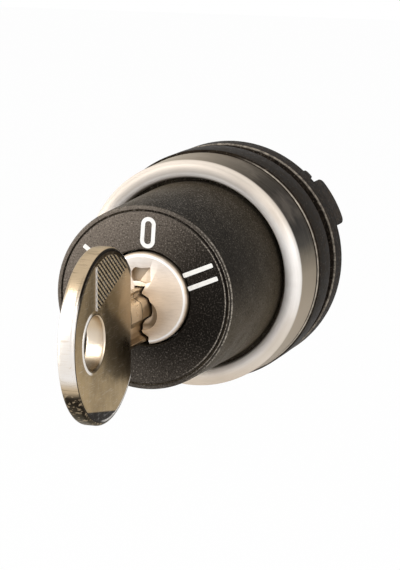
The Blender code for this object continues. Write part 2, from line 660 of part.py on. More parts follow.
def make_plug():
    """The part that turns: head in the dial, pin bores, keyway, clip groove and tang."""
    groove_front = CLIP_FRONT - RUN
    groove_rear = CLIP_REAR + RUN
    groove_floor = PLUG_RADIUS - CLIP_GROOVE_DEPTH
    profile = [
        (0, PLUG_FRONT),
        (PLUG_HEAD_RADIUS - PLUG_CHAMFER, PLUG_FRONT),
        (PLUG_HEAD_RADIUS, PLUG_FRONT + PLUG_CHAMFER),
        (PLUG_HEAD_RADIUS, PLUG_HEAD_REAR),
        (PLUG_RADIUS, PLUG_HEAD_REAR),
        (PLUG_RADIUS, groove_front),
        (groove_floor, groove_front),
        (groove_floor, groove_rear),
        (PLUG_RADIUS, groove_rear),
        (PLUG_RADIUS, PLUG_REAR),
        (0, PLUG_REAR),
    ]
    brass = make_material("plug_nickel", (0.62, 0.57, 0.50), 0.3, 0.95)
    plug = turned("lock_plug", profile, LOCK_STEPS, brass)

    bm = bmesh.new()
    tang_root = PLUG_REAR - SEAT
    half = TANG_THICKNESS / 2
    add_box(bm, (-half, half), (tang_root, PLUG_REAR + TANG_LENGTH), (-TANG_WIDTH / 2, TANG_WIDTH / 2))
    combine(plug, bm, "plug_tang", "UNION")

    # Keyway: the blade's section with a gap all round, open through the bottom
    outline = offset_outline(BLADE_SECTION, KEYWAY_GAP)
    low = BLADE_BOTTOM - KEYWAY_GAP
    outline = [(x, z if z > low + SEAT / 2 else -PLUG_HEAD_RADIUS - SEAT) for x, z in outline]
    bm = bmesh.new()
    add_prism_y(bm, outline, PLUG_FRONT - SEAT, BLADE_TIP + SEAT)
    combine(plug, bm, "plug_keyway", "DIFFERENCE")

    # Lower pin bores, and the deep side of the pocket in the face
    bm = bmesh.new()
    for place in PIN_PLACES:
        add_upright_bore(bm, 0, place, PIN_BORE, BLADE_TOP, PLUG_RADIUS + SEAT)
    outline = [(x * MM, z * MM) for x, z in POCKET_DEEP_SIDE_MM]
    add_prism_y(bm, outline, PLUG_FRONT - SEAT, PLUG_FRONT + POCKET_DEPTH)
    combine(plug, bm, "plug_bores", "DIFFERENCE")

    # The pocket's ledge beside its slanting step, and the shallow round recess about the keyway
    bm = bmesh.new()
    outline = [(x * MM, z * MM) for x, z in POCKET_LEDGE_MM]
    add_prism_y(bm, outline, PLUG_FRONT - SEAT, PLUG_FRONT + POCKET_LEDGE_DEPTH)
    recess = [(0, PLUG_FRONT - SEAT), (RECESS_RADIUS, PLUG_FRONT - SEAT)]
    recess += [(RECESS_RADIUS, PLUG_FRONT + RECESS_DEPTH), (0, PLUG_FRONT + RECESS_DEPTH)]
    add_turned(bm, recess, even_angles(LOCK_STEPS), Matrix.Translation((0, 0, -RECESS_DROP)))
    combine(plug, bm, "plug_recess", "DIFFERENCE")


def make_seals():
    rubber = make_material("plug_seal_rubber", (0.015, 0.015, 0.015), 0.7)
    wire = PLUG_SEAL_WIRE / 2
    turned("plug_seal", arc(PLUG_SEAL_RADIUS, PLUG_SEAL_PLACE, wire, wire, 0, 300, 5), LOCK_STEPS, rubber)
    rubber = make_material("cylinder_seal_rubber", (0.015, 0.015, 0.015), 0.7)
    wire = CYLINDER_SEAL_WIRE / 2
    outline = arc(CYLINDER_SEAL_RADIUS, CYLINDER_SEAL_PLACE, wire, wire, 0, 300, 5)
    turned("cylinder_seal", outline, LOCK_STEPS, rubber)


def make_clip():
    """Open ring that snaps into the plug's groove behind the cylinder."""
    section = [
        (CLIP_BORE, CLIP_FRONT),
        (CLIP_RADIUS, CLIP_FRONT),
        (CLIP_RADIUS, CLIP_REAR),
        (CLIP_BORE, CLIP_REAR),
    ]
    sweep = 360.0 - CLIP_OPENING
    count = LOCK_STEPS - 8
    layers = []
    for i in range(count + 1):
        turn = math.radians(180.0 + CLIP_OPENING / 2 + sweep * i / count)
        layers.append([(r * math.sin(turn), y, r * math.cos(turn)) for r, y in section])
    bm = bmesh.new()
    add_layers(bm, layers)
    steel = make_material("clip_steel", (0.35, 0.35, 0.36), 0.35, 1.0)
    finish_mesh(bm, "retaining_clip", steel)


def make_tumblers():
    """Key pins in the plug, and driver pins with their springs in the cylinder."""
    key_pin_low = BLADE_TOP + KEY_PIN_GAP
    key_pin_high = math.sqrt(PLUG_RADIUS ** 2 - PIN_RADIUS ** 2) - PIN_RUN
    driver_low = CYLINDER_BORE + PIN_RUN
    driver_high = driver_low + DRIVER_LENGTH
    upright = Matrix.Rotation(math.radians(90), 4, "X")
    for i, place in enumerate(PIN_PLACES, start=1):
        lower = [
            (0, key_pin_low),
            (PIN_TIP / 2, key_pin_low),
            (PIN_RADIUS, key_pin_low + PIN_TIP),
            (PIN_RADIUS, key_pin_high - PIN_EDGE),
            (PIN_RADIUS - PIN_EDGE, key_pin_high),
            (0, key_pin_high),
        ]
        upper = [
            (0, driver_low),
            (PIN_RADIUS - PIN_EDGE, driver_low),
            (PIN_RADIUS, driver_low + PIN_EDGE),
            (PIN_RADIUS, driver_high - PIN_EDGE),
            (PIN_RADIUS - PIN_EDGE, driver_high),
            (0, driver_high),
        ]
        where = Vector((0, place, 0))
        kinds = [("key_pin", lower, (0.72, 0.50, 0.20)), ("driver_pin", upper, (0.55, 0.55, 0.56))]
        for kind, outline, colour in kinds:
            bm = bmesh.new()
            add_turned(bm, outline, even_angles(PIN_STEPS), Matrix.Translation(where) @ upright)
            metal = make_material(f"{kind}_{i}_metal", colour, 0.3, 1.0)
            finish_mesh(bm, f"{kind}_{i}", metal, where)
        steel = make_material(f"pin_spring_{i}_steel", (0.5, 0.5, 0.5), 0.3, 1.0)
        low = driver_high + SPRING_END_GAP
        high = PIN_BORE_TOP - SPRING_END_GAP
        radius = PIN_RADIUS - PIN_SPRING_WIRE / 2
        wire, turns = PIN_SPRING_WIRE, PIN_SPRING_TURNS
        coil(f"pin_spring_{i}", low, high, radius, wire, turns, steel, where, upright=True)


def blade_side():
    """Outline (y, z) of the blade from the side: shoulder, cuts, tip and straight back."""
    over = BLADE_TOP + SEAT
    points = [(SHOULDER - BLADE_ROOT - SEAT, BLADE_BOTTOM - SEAT), (SHOULDER - BLADE_ROOT - SEAT, over)]
    cuts = list(zip(PIN_PLACES, CUT_DEPTHS))
    points.append((cuts[0][0] - CUT_FLAT / 2 - cuts[0][1] - SEAT, over))
    for i, (place, depth) in enumerate(cuts):
        floor = BLADE_TOP - depth
        points.append((place - CUT_FLAT / 2, floor))
        points.append((place + CUT_FLAT / 2, floor))
        if i + 1 < len(cuts):
            after, after_depth = cuts[i + 1]
            meet = (place + after + depth - after_depth) / 2
            height = floor + meet - place - CUT_FLAT / 2
            if height < over:
                points.append((meet, height))
            else:
                points.append((place + CUT_FLAT / 2 + over - floor, over))
                points.append((after - CUT_FLAT / 2 - over + BLADE_TOP - after_depth, over))
    place, depth = cuts[-1]
    rise = BLADE_TIP - TIP_TOP_CHAMFER - place - CUT_FLAT / 2
    if rise < depth:
        points.append((BLADE_TIP - TIP_TOP_CHAMFER, BLADE_TOP - depth + rise))
    else:
        points.append((place + CUT_FLAT / 2 + depth, BLADE_TOP))
        points.append((BLADE_TIP - TIP_TOP_CHAMFER, BLADE_TOP))
    points.append((BLADE_TIP, BLADE_TOP - TIP_TOP_CHAMFER - depth / 2))
    points.append((BLADE_TIP, BLADE_BOTTOM + TIP_BOTTOM_CHAMFER))
    points.append((BLADE_TIP - TIP_BOTTOM_CHAMFER - SEAT, BLADE_BOTTOM - SEAT))
    return points


def make_key():
    """Blade of the warded section with its cuts, joined to a flat disc bow with round edges."""
    bm = bmesh.new()
    add_prism_y(bm, BLADE_SECTION, SHOULDER - BLADE_ROOT, BLADE_TIP + SEAT)
    brass = make_material("key_nickel_brass", (0.60, 0.52, 0.38), 0.28, 1.0)
    key = finish_mesh(bm, "key", brass)
    bm = bmesh.new()
    reach = BOW_THICKNESS
    add_prism_x(bm, blade_side(), -reach, reach)
    combine(key, bm, "key_side", "INTERSECT")

    # Bow: a disc cut off straight at the shoulder
    flat = math.acos(BOW_CENTRE_TO_SHOULDER / BOW_RADIUS)
    outline = []
    for i in range(RING_STEPS + 1):
        turn = flat + (2 * math.pi - 2 * flat) * i / RING_STEPS
        outline.append((BOW_CENTRE + BOW_RADIUS * math.cos(turn), -BOW_DROP + BOW_RADIUS * math.sin(turn)))
    half = BOW_THICKNESS / 2
    inset = 1 - math.sqrt(0.5)
    steps = [(1.0, 0.0), (inset, inset), (0.0, 1.0)]
    layers = []
    for out, back in steps:
        layers.append((-out * BOW_EDGE, -half + back * BOW_EDGE))
    for out, back in reversed(steps):
        layers.append((-out * BOW_EDGE, half - back * BOW_EDGE))
    bm = bmesh.new()
    add_layers(bm, [[(x, y, z) for y, z in offset_outline(outline, out)] for out, x in layers])
    combine(key, bm, "key_bow", "UNION")

    # Ring hole with a raised bead round it on both faces
    across = Matrix.Rotation(math.radians(-90), 4, "Z")
    place = Matrix.Translation((0, BOW_CENTRE - RING_HOLE_FORWARD, -BOW_DROP)) @ across
    rise = half + RING_BEAD_HEIGHT
    bead_top = RING_HOLE_RADIUS + RING_BEAD_WIDTH - RING_BEAD_HEIGHT
    bead_foot = RING_HOLE_RADIUS + RING_BEAD_WIDTH + SEAT
    inner = RING_HOLE_RADIUS - SEAT
    bead = [(inner, -rise), (bead_top, -rise), (bead_foot, -half + SEAT)]
    bead += [(bead_foot, half - SEAT), (bead_top, rise), (inner, rise)]
    bm = bmesh.new()
    add_turned(bm, bead, even_angles(LOCK_STEPS), place)
    combine(key, bm, "key_bead", "UNION")
    wide = RING_HOLE_RADIUS + RING_HOLE_CHAMFER + SEAT
    hole = [(0, -rise - SEAT), (wide, -rise - SEAT), (RING_HOLE_RADIUS, -rise + RING_HOLE_CHAMFER)]
    hole += [(RING_HOLE_RADIUS, rise - RING_HOLE_CHAMFER), (wide, rise + SEAT), (0, rise + SEAT)]
    bm = bmesh.new()
    add_turned(bm, hole, even_angles(LOCK_STEPS), place)
    combine(key, bm, "key_ring_hole", "DIFFERENCE")


def cam_height(angle):
    """Rear face of the drum: a ramp down each side, level at the top and at the bottom."""
    aside = abs((angle + 180.0) % 360.0 - 180.0)
    turn = min(max(aside - 90.0, -CAM_TURN), CAM_TURN)
    return CAM_MIDDLE + CAM_STROKE * turn / CAM_TURN


def make_drum():
    """Cam drum on the plug's tang. Its rear face pushes one plunger and lets the other back."""
    profile = [
        (0, DRUM_FRONT),
        (DRUM_RADIUS, DRUM_FRONT),
        (DRUM_RADIUS, cam_height),
        (CAM_INNER_RADIUS, cam_height),
        (CAM_INNER_RADIUS, DRUM_FLOOR),
        (JOURNAL_RADIUS, DRUM_FLOOR),
        (JOURNAL_RADIUS, COVER_REAR),
        (JOURNAL_RADIUS - JOURNAL_WALL, COVER_REAR),
        (JOURNAL_RADIUS - JOURNAL_WALL, COVER_REAR - JOURNAL_BORE_DEPTH),
        (0, COVER_REAR - JOURNAL_BORE_DEPTH),
    ]
    white = make_material("drum_moulded", (0.62, 0.60, 0.55), 0.45)
    bm = bmesh.new()
    add_turned(bm, profile, even_angles(RING_STEPS))
    drum = finish_mesh(bm, "cam_drum", white)
    bm = bmesh.new()
    half = TANG_THICKNESS / 2 + RUN
    slot = (DRUM_FRONT - SEAT, PLUG_REAR + TANG_LENGTH + RUN)
    add_box(bm, (-half, half), slot, (-TANG_WIDTH / 2 - RUN, TANG_WIDTH / 2 + RUN))
    bore_end = DRUM_FRONT + DETENT_BORE_DEPTH
    bore = [(0, DRUM_FRONT - SEAT), (DETENT_BORE, DRUM_FRONT - SEAT), (DETENT_BORE, bore_end), (0, bore_end)]
    for angle in DETENT_TURNS:
        place = Matrix.Translation(round_the_axis(angle, DETENT_OFFSET))
        add_turned(bm, bore, even_angles(PIN_STEPS), place)
    combine(drum, bm, "drum_cut", "DIFFERENCE")


def make_detents():
    """A ball and its spring in each bore in the drum's front face."""
    ball_front = DRUM_FRONT - RUN
    ball_middle = ball_front + DETENT_BALL_RADIUS
    low = ball_middle + DETENT_BALL_RADIUS + SPRING_END_GAP
    high = DRUM_FRONT + DETENT_BORE_DEPTH - SPRING_END_GAP
    for (side, sign), angle in zip(SIDES, reversed(DETENT_TURNS)):
        place = round_the_axis(angle, DETENT_OFFSET)
        outline = arc(0, ball_middle, DETENT_BALL_RADIUS, DETENT_BALL_RADIUS, -90, 90, 6)
        outline[0] = (0, outline[0][1])
        outline[-1] = (0, outline[-1][1])
        steel = make_material(f"detent_ball_{side}_steel", (0.6, 0.6, 0.6), 0.15, 1.0)
        turned(f"detent_ball_{side}", outline, PIN_STEPS, steel, place)
        steel = make_material(f"detent_spring_{side}_steel", (0.5, 0.5, 0.5), 0.3, 1.0)
        radius = DETENT_BALL_RADIUS - DETENT_SPRING_WIRE / 2
        wire, turns = DETENT_SPRING_WIRE, DETENT_SPRING_TURNS
        coil(f"detent_spring_{side}", low, high, radius, wire, turns, steel, place)


def make_plungers():
    """A round-tipped plunger on each side, with its return spring against the rear cover."""
    rear = COVER_REAR + PLUNGER_PROUD
    for side, sign in SIDES:
        place = Vector((sign * PLUNGER_OFFSET, 0, 0))
        tip = arc(0, PLUNGER_TIP + PLUNGER_RADIUS, PLUNGER_RADIUS, PLUNGER_RADIUS, -90, 0, 4)
        tip[0] = (0, PLUNGER_TIP)
        profile = tip + [
            (PLUNGER_RADIUS, PLUNGER_FLANGE_FRONT),
            (PLUNGER_FLANGE_RADIUS, PLUNGER_FLANGE_FRONT),
            (PLUNGER_FLANGE_RADIUS, PLUNGER_FLANGE_REAR),
            (PLUNGER_RADIUS, PLUNGER_FLANGE_REAR),
            (PLUNGER_RADIUS, rear - PLUNGER_EDGE),
            (PLUNGER_RADIUS - PLUNGER_EDGE, rear),
            (0, rear),
        ]
        nylon = make_material(f"plunger_{side}_moulded", (0.75, 0.73, 0.68), 0.4)
        turned(f"plunger_{side}", profile, PIN_STEPS, nylon, place)
        steel = make_material(f"plunger_spring_{side}_steel", (0.5, 0.5, 0.5), 0.3, 1.0)
        start = PLUNGER_FLANGE_REAR + RUN
        end = COVER_FRONT + SPRING_POCKET_DEPTH - RUN
        wire, turns = PLUNGER_SPRING_WIRE, PLUNGER_SPRING_TURNS
        coil(f"plunger_spring_{side}", start, end, PLUNGER_SPRING_RADIUS, wire, turns, steel, place)


def make_cover():
    """Plate that closes the sleeve, guides both plungers and carries the drum's journal."""
    radius = SLEEVE_BORE - SEAT
    journal = JOURNAL_RADIUS + RUN
    profile = [(journal, COVER_FRONT), (radius, COVER_FRONT), (radius, COVER_REAR), (journal, COVER_REAR)]
    black = make_material("cover_black", (0.02, 0.02, 0.02), 0.5)
    cover = turned("rear_cover", profile, RING_STEPS, black)
    bm = bmesh.new()
    half = TAB_WIDTH / 2
    along = (COVER_FRONT + 2 * SEAT, COVER_FRONT + 2 * SEAT + TAB_LENGTH)
    low, high = radius - SEAT, radius + TAB_HEIGHT
    for across in ((low, high), (-high, -low)):
        add_box(bm, (-half, half), along, across)
    combine(cover, bm, "cover_tabs", "UNION")
    bm = bmesh.new()
    guide = PLUNGER_RADIUS + RUN
    pocket_floor = COVER_FRONT + SPRING_POCKET_DEPTH
    bore = [
        (0, COVER_FRONT - SEAT),
        (SPRING_POCKET, COVER_FRONT - SEAT),
        (SPRING_POCKET, pocket_floor),
        (guide, pocket_floor),
        (guide, COVER_REAR + SEAT),
        (0, COVER_REAR + SEAT),
    ]
    for side, sign in SIDES:
        add_turned(bm, bore, even_angles(PIN_STEPS), Matrix.Translation((sign * PLUNGER_OFFSET, 0, 0)))
    combine(cover, bm, "cover_bores", "DIFFERENCE")


def raised_parts():
    """Start, sweep and height of each lug and nib on the nut's rear face, in degrees and metres."""
    spacing = 360.0 / NUT_LUG_COUNT
    parts = []
    for i in range(NUT_LUG_COUNT):
        parts.append((NIB_START + i * spacing, NIB_ANGLE, NIB_HEIGHT))
        parts.append((NUT_LUG_START + i * spacing, NUT_LUG_ANGLE, NUT_LUG_HEIGHT))
    return parts


def make_nut():
    """Round nut with castellations for the fitting tool."""
    angles = set(even_angles(RING_STEPS))
    heights = {}
    for start, sweep, height in raised_parts():
        inside = {angle for angle in angles if start - 1.0 < angle < start + sweep + 1.0}
        angles -= inside
        corner = NUT_LUG_CORNER * height / NUT_LUG_HEIGHT
        drop = math.radians(corner) * NUT_RADIUS
        for edge, step in ((start, 1), (start + sweep, -1)):
            heights[edge] = 0.0
            heights[edge + step * LUG_DRAFT] = height - drop
            heights[edge + step * (LUG_DRAFT + corner * 0.3)] = height - drop * 0.3
            heights[edge + step * (LUG_DRAFT + corner)] = height
        for angle in inside:
            if start + LUG_DRAFT + corner + 0.5 < angle < start + sweep - LUG_DRAFT - corner - 0.5:
                heights[angle] = height
    angles = sorted(angles | set(heights))

    def rear(angle):
        return NUT_REAR + heights.get(angle, 0.0)

    bore = SLEEVE_RADIUS + SEAT
    profile = [
        (bore + NUT_CHAMFER, NUT_FRONT),
        (NUT_RADIUS - NUT_CHAMFER, NUT_FRONT),
        (NUT_RADIUS, NUT_FRONT + NUT_CHAMFER),
        (NUT_RADIUS, rear),
        (NUT_RADIUS - NUT_LUG_WALL, rear),
        (NUT_RADIUS - NUT_LUG_WALL, NUT_REAR),
        (bore, NUT_REAR),
        (bore, NUT_FRONT + NUT_CHAMFER),
    ]
    black = make_material("nut_black", (0.03, 0.025, 0.02), 0.5)
    bm = bmesh.new()
    add_turned(bm, profile, angles)
    finish_mesh(bm, "ring_nut", black)


clear_scene()
make_key()
make_plug()
make_tumblers()
make_lock_cylinder()
make_clip()
make_seals()
make_collar()
make_bezel()
make_housing()
make_gasket()
make_nut()
make_drum()
make_detents()
make_plungers()
make_cover()
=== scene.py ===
import math
import bpy
from mathutils import Matrix, Vector


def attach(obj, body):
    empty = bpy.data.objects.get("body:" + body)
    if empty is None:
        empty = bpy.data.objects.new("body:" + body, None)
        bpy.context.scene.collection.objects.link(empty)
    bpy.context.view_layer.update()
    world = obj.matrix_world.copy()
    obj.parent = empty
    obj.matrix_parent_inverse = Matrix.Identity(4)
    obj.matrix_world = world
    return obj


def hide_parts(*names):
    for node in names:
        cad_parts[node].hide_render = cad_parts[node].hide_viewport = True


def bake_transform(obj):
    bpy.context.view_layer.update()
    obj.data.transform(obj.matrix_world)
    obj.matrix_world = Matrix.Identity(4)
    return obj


# Key selector switch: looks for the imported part. Lock axis along Y, front towards -Y.
# Sizes are in millimetres, measured as in the solids, and turned to metres by mm.

mm = 0.001
near = 0.004  # places closer than this count as one
past = 0.3  # a cutting tool reaches this far past what it cuts

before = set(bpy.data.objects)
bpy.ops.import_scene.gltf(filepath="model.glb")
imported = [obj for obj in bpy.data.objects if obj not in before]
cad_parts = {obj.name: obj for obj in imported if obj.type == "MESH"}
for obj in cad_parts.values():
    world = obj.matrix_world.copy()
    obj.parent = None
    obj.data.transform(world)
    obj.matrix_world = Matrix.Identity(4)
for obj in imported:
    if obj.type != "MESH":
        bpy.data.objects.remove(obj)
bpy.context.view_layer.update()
print("frame loaded:", len(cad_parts), "nodes")


# Modelling helpers

def objectMode():
    if bpy.context.object and bpy.context.object.mode != "OBJECT":
        bpy.ops.object.mode_set(mode="OBJECT")


def nothingSelected():
    objectMode()
    bpy.ops.object.select_all(action="DESELECT")


def workOn(piece):
    nothingSelected()
    piece.select_set(True)
    bpy.context.view_layer.objects.active = piece


def added(name, primitive, **sizes):
    nothingSelected()
    primitive(**sizes)
    piece = bpy.context.object
    piece.name = name
    return piece


def settle(piece):  # place, turn and scale go into the mesh
    workOn(piece)
    bpy.ops.object.transform_apply(location=True, rotation=True, scale=True)


def smooth(piece, angle=32):  # edges that turn more than this stay sharp
    workOn(piece)
    bpy.ops.object.shade_smooth_by_angle(angle=math.radians(angle))


def selectAll():
    bpy.ops.mesh.select_all(action="SELECT")


def editAll():
    bpy.ops.object.mode_set(mode="EDIT")
    bpy.ops.mesh.select_mode(type="VERT")
    selectAll()


def pick(piece, kind, wanted):  # wanted gets places in mm, and the normal of a face
    objectMode()
    mesh = piece.data
    for group in (mesh.vertices, mesh.edges, mesh.polygons):
        group.foreach_set("select", [False] * len(group))
    if kind == "VERT":
        for corner in mesh.vertices:
            corner.select = bool(wanted(corner.co / mm))
    elif kind == "EDGE":
        for edge in mesh.edges:
            first, last = (mesh.vertices[i].co / mm for i in edge.vertices)
            edge.select = bool(wanted(first, last))
    else:
        for face in mesh.polygons:
            face.select = bool(wanted(face.center / mm, face.normal))
    bpy.context.tool_settings.mesh_select_mode = (kind == "VERT", kind == "EDGE", kind == "FACE")
    bpy.ops.object.mode_set(mode="EDIT")


def shift(way):
    bpy.ops.transform.translate(value=Vector(way) * mm)


def extrude(way):
    bpy.ops.mesh.extrude_region_move(TRANSFORM_OT_translate={"value": Vector(way) * mm})


def drawRoute(name, places, closed=True):  # one corner is extruded from place to place
    piece = added(name, bpy.ops.mesh.primitive_plane_add, size=2 * mm)
    editAll()
    bpy.ops.mesh.merge(type="CENTER")
    here = Vector(places[0])
    shift(here)
    for place in places[1:] + (places[:1] if closed else []):
        extrude(Vector(place) - here)
        here = Vector(place)
    selectAll()
    bpy.ops.mesh.remove_doubles(threshold=1e-7)
    return piece


def closeUp(piece):
    selectAll()
    bpy.ops.mesh.remove_doubles(threshold=1e-6)
    bpy.ops.mesh.normals_make_consistent(inside=False)
    smooth(piece)


def spun(name, outline, steps=192, aside=(0, 0)):  # outline: (radius, y[, rounding]), may start on the axis
    piece = drawRoute(name, [(point[0], point[1], 0) for point in outline], outline[0][0] > near)
    for point in outline:
        if len(point) > 2:
            corner = Vector((point[0], point[1], 0))
            pick(piece, "VERT", lambda at: (at - corner).length < near)
            bpy.ops.mesh.bevel(offset=point[2] * mm, segments=4, affect="VERTICES")
    selectAll()
    bpy.ops.mesh.spin(steps=steps, angle=2 * math.pi, center=(0, 0, 0), axis=(0, 1, 0))
    selectAll()
    shift((aside[0], 0, aside[1]))
    closeUp(piece)
    return piece


def rod(name, radius, low, high, steps, aside):
    return spun(name, [(0, low), (radius, low), (radius, high), (0, high)], steps, aside)


def arc(centre, reach, first, last, steps):  # places on an ellipse, turns in radians
    turns = [first + (last - first) * step / steps for step in range(steps + 1)]
    return [(centre[0] + reach[0] * math.cos(turn), centre[1] + reach[1] * math.sin(turn)) for turn in turns]


def slab(name, outline, axis, low, high):  # flat outline pushed along X or Y
    alongX = axis == "X"
    piece = drawRoute(name, [(low, a, b) if alongX else (a, low, b) for a, b in outline])
    bpy.ops.mesh.edge_face_add()
    extrude((high - low, 0, 0) if alongX else (0, high - low, 0))
    closeUp(piece)
    return piece


def block(name, centre, size):
    piece = added(name, bpy.ops.mesh.primitive_cube_add, size=1, location=Vector(centre) * mm)
    piece.scale = Vector(size) * mm
    settle(piece)
    return piece


def modify(piece, kind, **settings):  # one modifier, set and applied
    workOn(piece)
    step = piece.modifiers.new("step", kind)
    for name, value in settings.items():
        setattr(step, name, value)
    bpy.ops.object.modifier_apply(modifier=step.name)


def combine(piece, tool, operation):
    modify(piece, "BOOLEAN", operation=operation, solver="EXACT", object=tool)
    bpy.data.objects.remove(tool, do_unlink=True)


def softenEdges(piece, width, angle):
    modify(piece, "BEVEL", width=width * mm, segments=2, limit_method="ANGLE",
           angle_limit=math.radians(angle))
    smooth(piece)


def wind(piece, pitch, turns, steps):  # along the lock axis
    modify(piece, "SCREW", axis="Y", screw_offset=pitch * mm, iterations=turns, steps=steps)


def joined(piece, other):
    workOn(piece)
    other.select_set(True)
    bpy.ops.object.join()
    return piece


# Material helpers

class Signal:  # a socket that takes part in sums
    def __init__(self, finish, socket):
        self.finish = finish
        self.socket = socket

    def combineWith(self, operation, first, second):
        return self.finish.node("ShaderNodeMath", {"operation": operation}, {0: first, 1: second})

    def __add__(self, other):
        return self.combineWith("ADD", self, other)

    def __radd__(self, other):
        return self.combineWith("ADD", other, self)

    def __sub__(self, other):
        return self.combineWith("SUBTRACT", self, other)

    def __rsub__(self, other):
        return self.combineWith("SUBTRACT", other, self)

    def __mul__(self, other):
        return self.combineWith("MULTIPLY", self, other)

    def __rmul__(self, other):
        return self.combineWith("MULTIPLY", other, self)

    def __truediv__(self, other):
        return self.combineWith("DIVIDE", self, other)

    def __pow__(self, other):
        return self.combineWith("POWER", self, other)

    def apply(self, operation, other=0.0):
        return self.combineWith(operation, self, other)

    def between(self, low, high, atLow=0.0, atHigh=1.0):  # smooth step
        values = {"Value": self, "From Min": low, "From Max": high, "To Min": atLow, "To Max": atHigh}
        return self.finish.node("ShaderNodeMapRange", {"interpolation_type": "SMOOTHSTEP"}, values)

    def below(self, low, high):  # 1 up to low, 0 from high on
        return self.between(low, high, 1, 0)

    def stripe(self, rise, full, fall, gone):  # 1 from full to fall, 0 before rise and from gone on
        return self.between(rise, full) * self.below(fall, gone)


def largest(mask, *others):
    for other in others:
        mask = mask.apply("MAXIMUM", other)
    return mask


def fromCentre(a, b):  # distance from where both are 0
    return (a * a + b * b) ** 0.5


class Finish:
    def __init__(self, name, colour, roughness, metallic=0.0):
        self.material = bpy.data.materials.new(name)
        self.material.use_nodes = True
        self.tree = self.material.node_tree
        self.shader = self.tree.nodes["Principled BSDF"]
        self.material.diffuse_color = (*colour, 1)
        self.set("Base Color", (*colour, 1))
        self.set("Roughness", roughness)
        self.set("Metallic", metallic)
        self.place = self.node("ShaderNodeTexCoord", out="Object")

    def set(self, name, value):
        target = self.shader.inputs[name]
        if isinstance(value, Signal):
            self.tree.links.new(value.socket, target)
        else:
            target.default_value = value

    def node(self, kind, settings=None, values=None, out=0):
        made = self.tree.nodes.new(kind)
        for name, value in (settings or {}).items():
            setattr(made, name, value)
        for name, value in (values or {}).items():
            if isinstance(value, Signal):
                self.tree.links.new(value.socket, made.inputs[name])
            else:
                made.inputs[name].default_value = value
        return Signal(self, made.outputs[out])

    def axes(self):  # x, y and z in mm
        split = self.node("ShaderNodeSeparateXYZ", {}, {0: self.place}).socket.node
        return [Signal(self, split.outputs[name]) * (1 / mm) for name in "XYZ"]

    def stretched(self, x, y, z):
        return self.node("ShaderNodeVectorMath", {"operation": "MULTIPLY"}, {0: self.place, 1: (x, y, z)})

    def noise(self, scale, detail, roughness=0.5, vector=None):
        values = {"Vector": vector or self.place, "Scale": scale, "Detail": detail, "Roughness": roughness}
        return self.node("ShaderNodeTexNoise", {}, values)

    def blend(self, mask, low, high):  # colours, mask 0 gives low
        values = {0: mask, 6: low if isinstance(low, Signal) else (*low, 1)}
        values[7] = high if isinstance(high, Signal) else (*high, 1)
        return self.node("ShaderNodeMix", {"data_type": "RGBA"}, values, out=2)

    def paint(self, colour, *coats):  # coats: (mask, colour), one over the other
        for mask, coat in coats:
            colour = self.blend(mask, colour, coat)
        return colour

    def ramp(self, mask, stops):  # stops: (place, colour)
        colour = self.node("ShaderNodeValToRGB", {}, {0: mask})
        band = colour.socket.node.color_ramp
        while len(band.elements) < len(stops):
            band.elements.new(0.5)
        for stop, (at, shade) in zip(band.elements, stops):
            stop.position = at
            stop.color = (*shade, 1)
        return colour

    def bump(self, height, distance, strength):
        values = {"Height": height, "Distance": distance * mm, "Strength": strength}
        self.set("Normal", self.node("ShaderNodeBump", {}, values))

    def onto(self, *pieces):
        for piece in pieces:
            piece.data.materials.clear()
            piece.data.materials.append(self.material)

    def ontoNode(self, *names):
        for name in names:
            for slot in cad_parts[name].material_slots:
                slot.material = self.material


# Camera

camera = {
    "place": (106.36, -312.76, 58.91),
    "turn": 19.27,
    "height": 10.71,
    "roll": 0.31,
    "lens": 160.2,
    "sensor": 36,
    "nearest": 10,
    "farthest": 20000,
}

lensData = bpy.data.cameras.new("camera")
lensData.lens = camera["lens"]
lensData.sensor_width = camera["sensor"]
lensData.clip_start = camera["nearest"] * mm
lensData.clip_end = camera["farthest"] * mm
cameraObject = bpy.data.objects.new("camera", lensData)
bpy.context.scene.collection.objects.link(cameraObject)
heading = Matrix.Rotation(math.radians(camera["turn"]), 4, "Z")
heading = heading @ Matrix.Rotation(math.radians(90 - camera["height"]), 4, "X")
heading = heading @ Matrix.Rotation(math.radians(camera["roll"]), 4, "Z")
cameraObject.matrix_world = Matrix.Translation(Vector(camera["place"]) * mm) @ heading
bpy.context.scene.camera = cameraObject
print("camera set")


# Dial collar

dial = {
    "front": -29.15,
    "rear": -5.6,
    "holeRadius": 5.97,
    "grooveRadius": 10.67,
    "grooveWidth": 0.22,
    "grooveDepth": 0.25,
    "frontRadius": 11.39,
    "rearRadius": 11.88,
    "footRadius": 12.7,
    "footFront": -10.3,
    "footRear": -7.9,
    "boreRadius": 10.2,
    "wallRear": -27.15,
}

grooveOuter = dial["grooveRadius"] + dial["grooveWidth"]
grooveFloor = dial["front"] + dial["grooveDepth"]
dialOutline = [
    (dial["holeRadius"], dial["wallRear"]),
    (dial["holeRadius"], dial["front"], 0.2),
    (dial["grooveRadius"], dial["front"], 0.06),
    (dial["grooveRadius"], grooveFloor),
    (grooveOuter, grooveFloor),
    (grooveOuter, dial["front"], 0.06),
    (dial["frontRadius"], dial["front"], 0.22),
    (dial["rearRadius"], dial["footFront"]),
    (dial["footRadius"], dial["footFront"], 0.15),
    (dial["footRadius"], dial["footRear"]),
    (dial["rearRadius"], dial["footRear"]),
    (dial["rearRadius"], dial["rear"], 0.15),
    (dial["boreRadius"], dial["rear"]),
    (dial["boreRadius"], dial["wallRear"]),
]
collar = spun("dialCollar", dialOutline)
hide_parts("collar")
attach(collar, "housing")

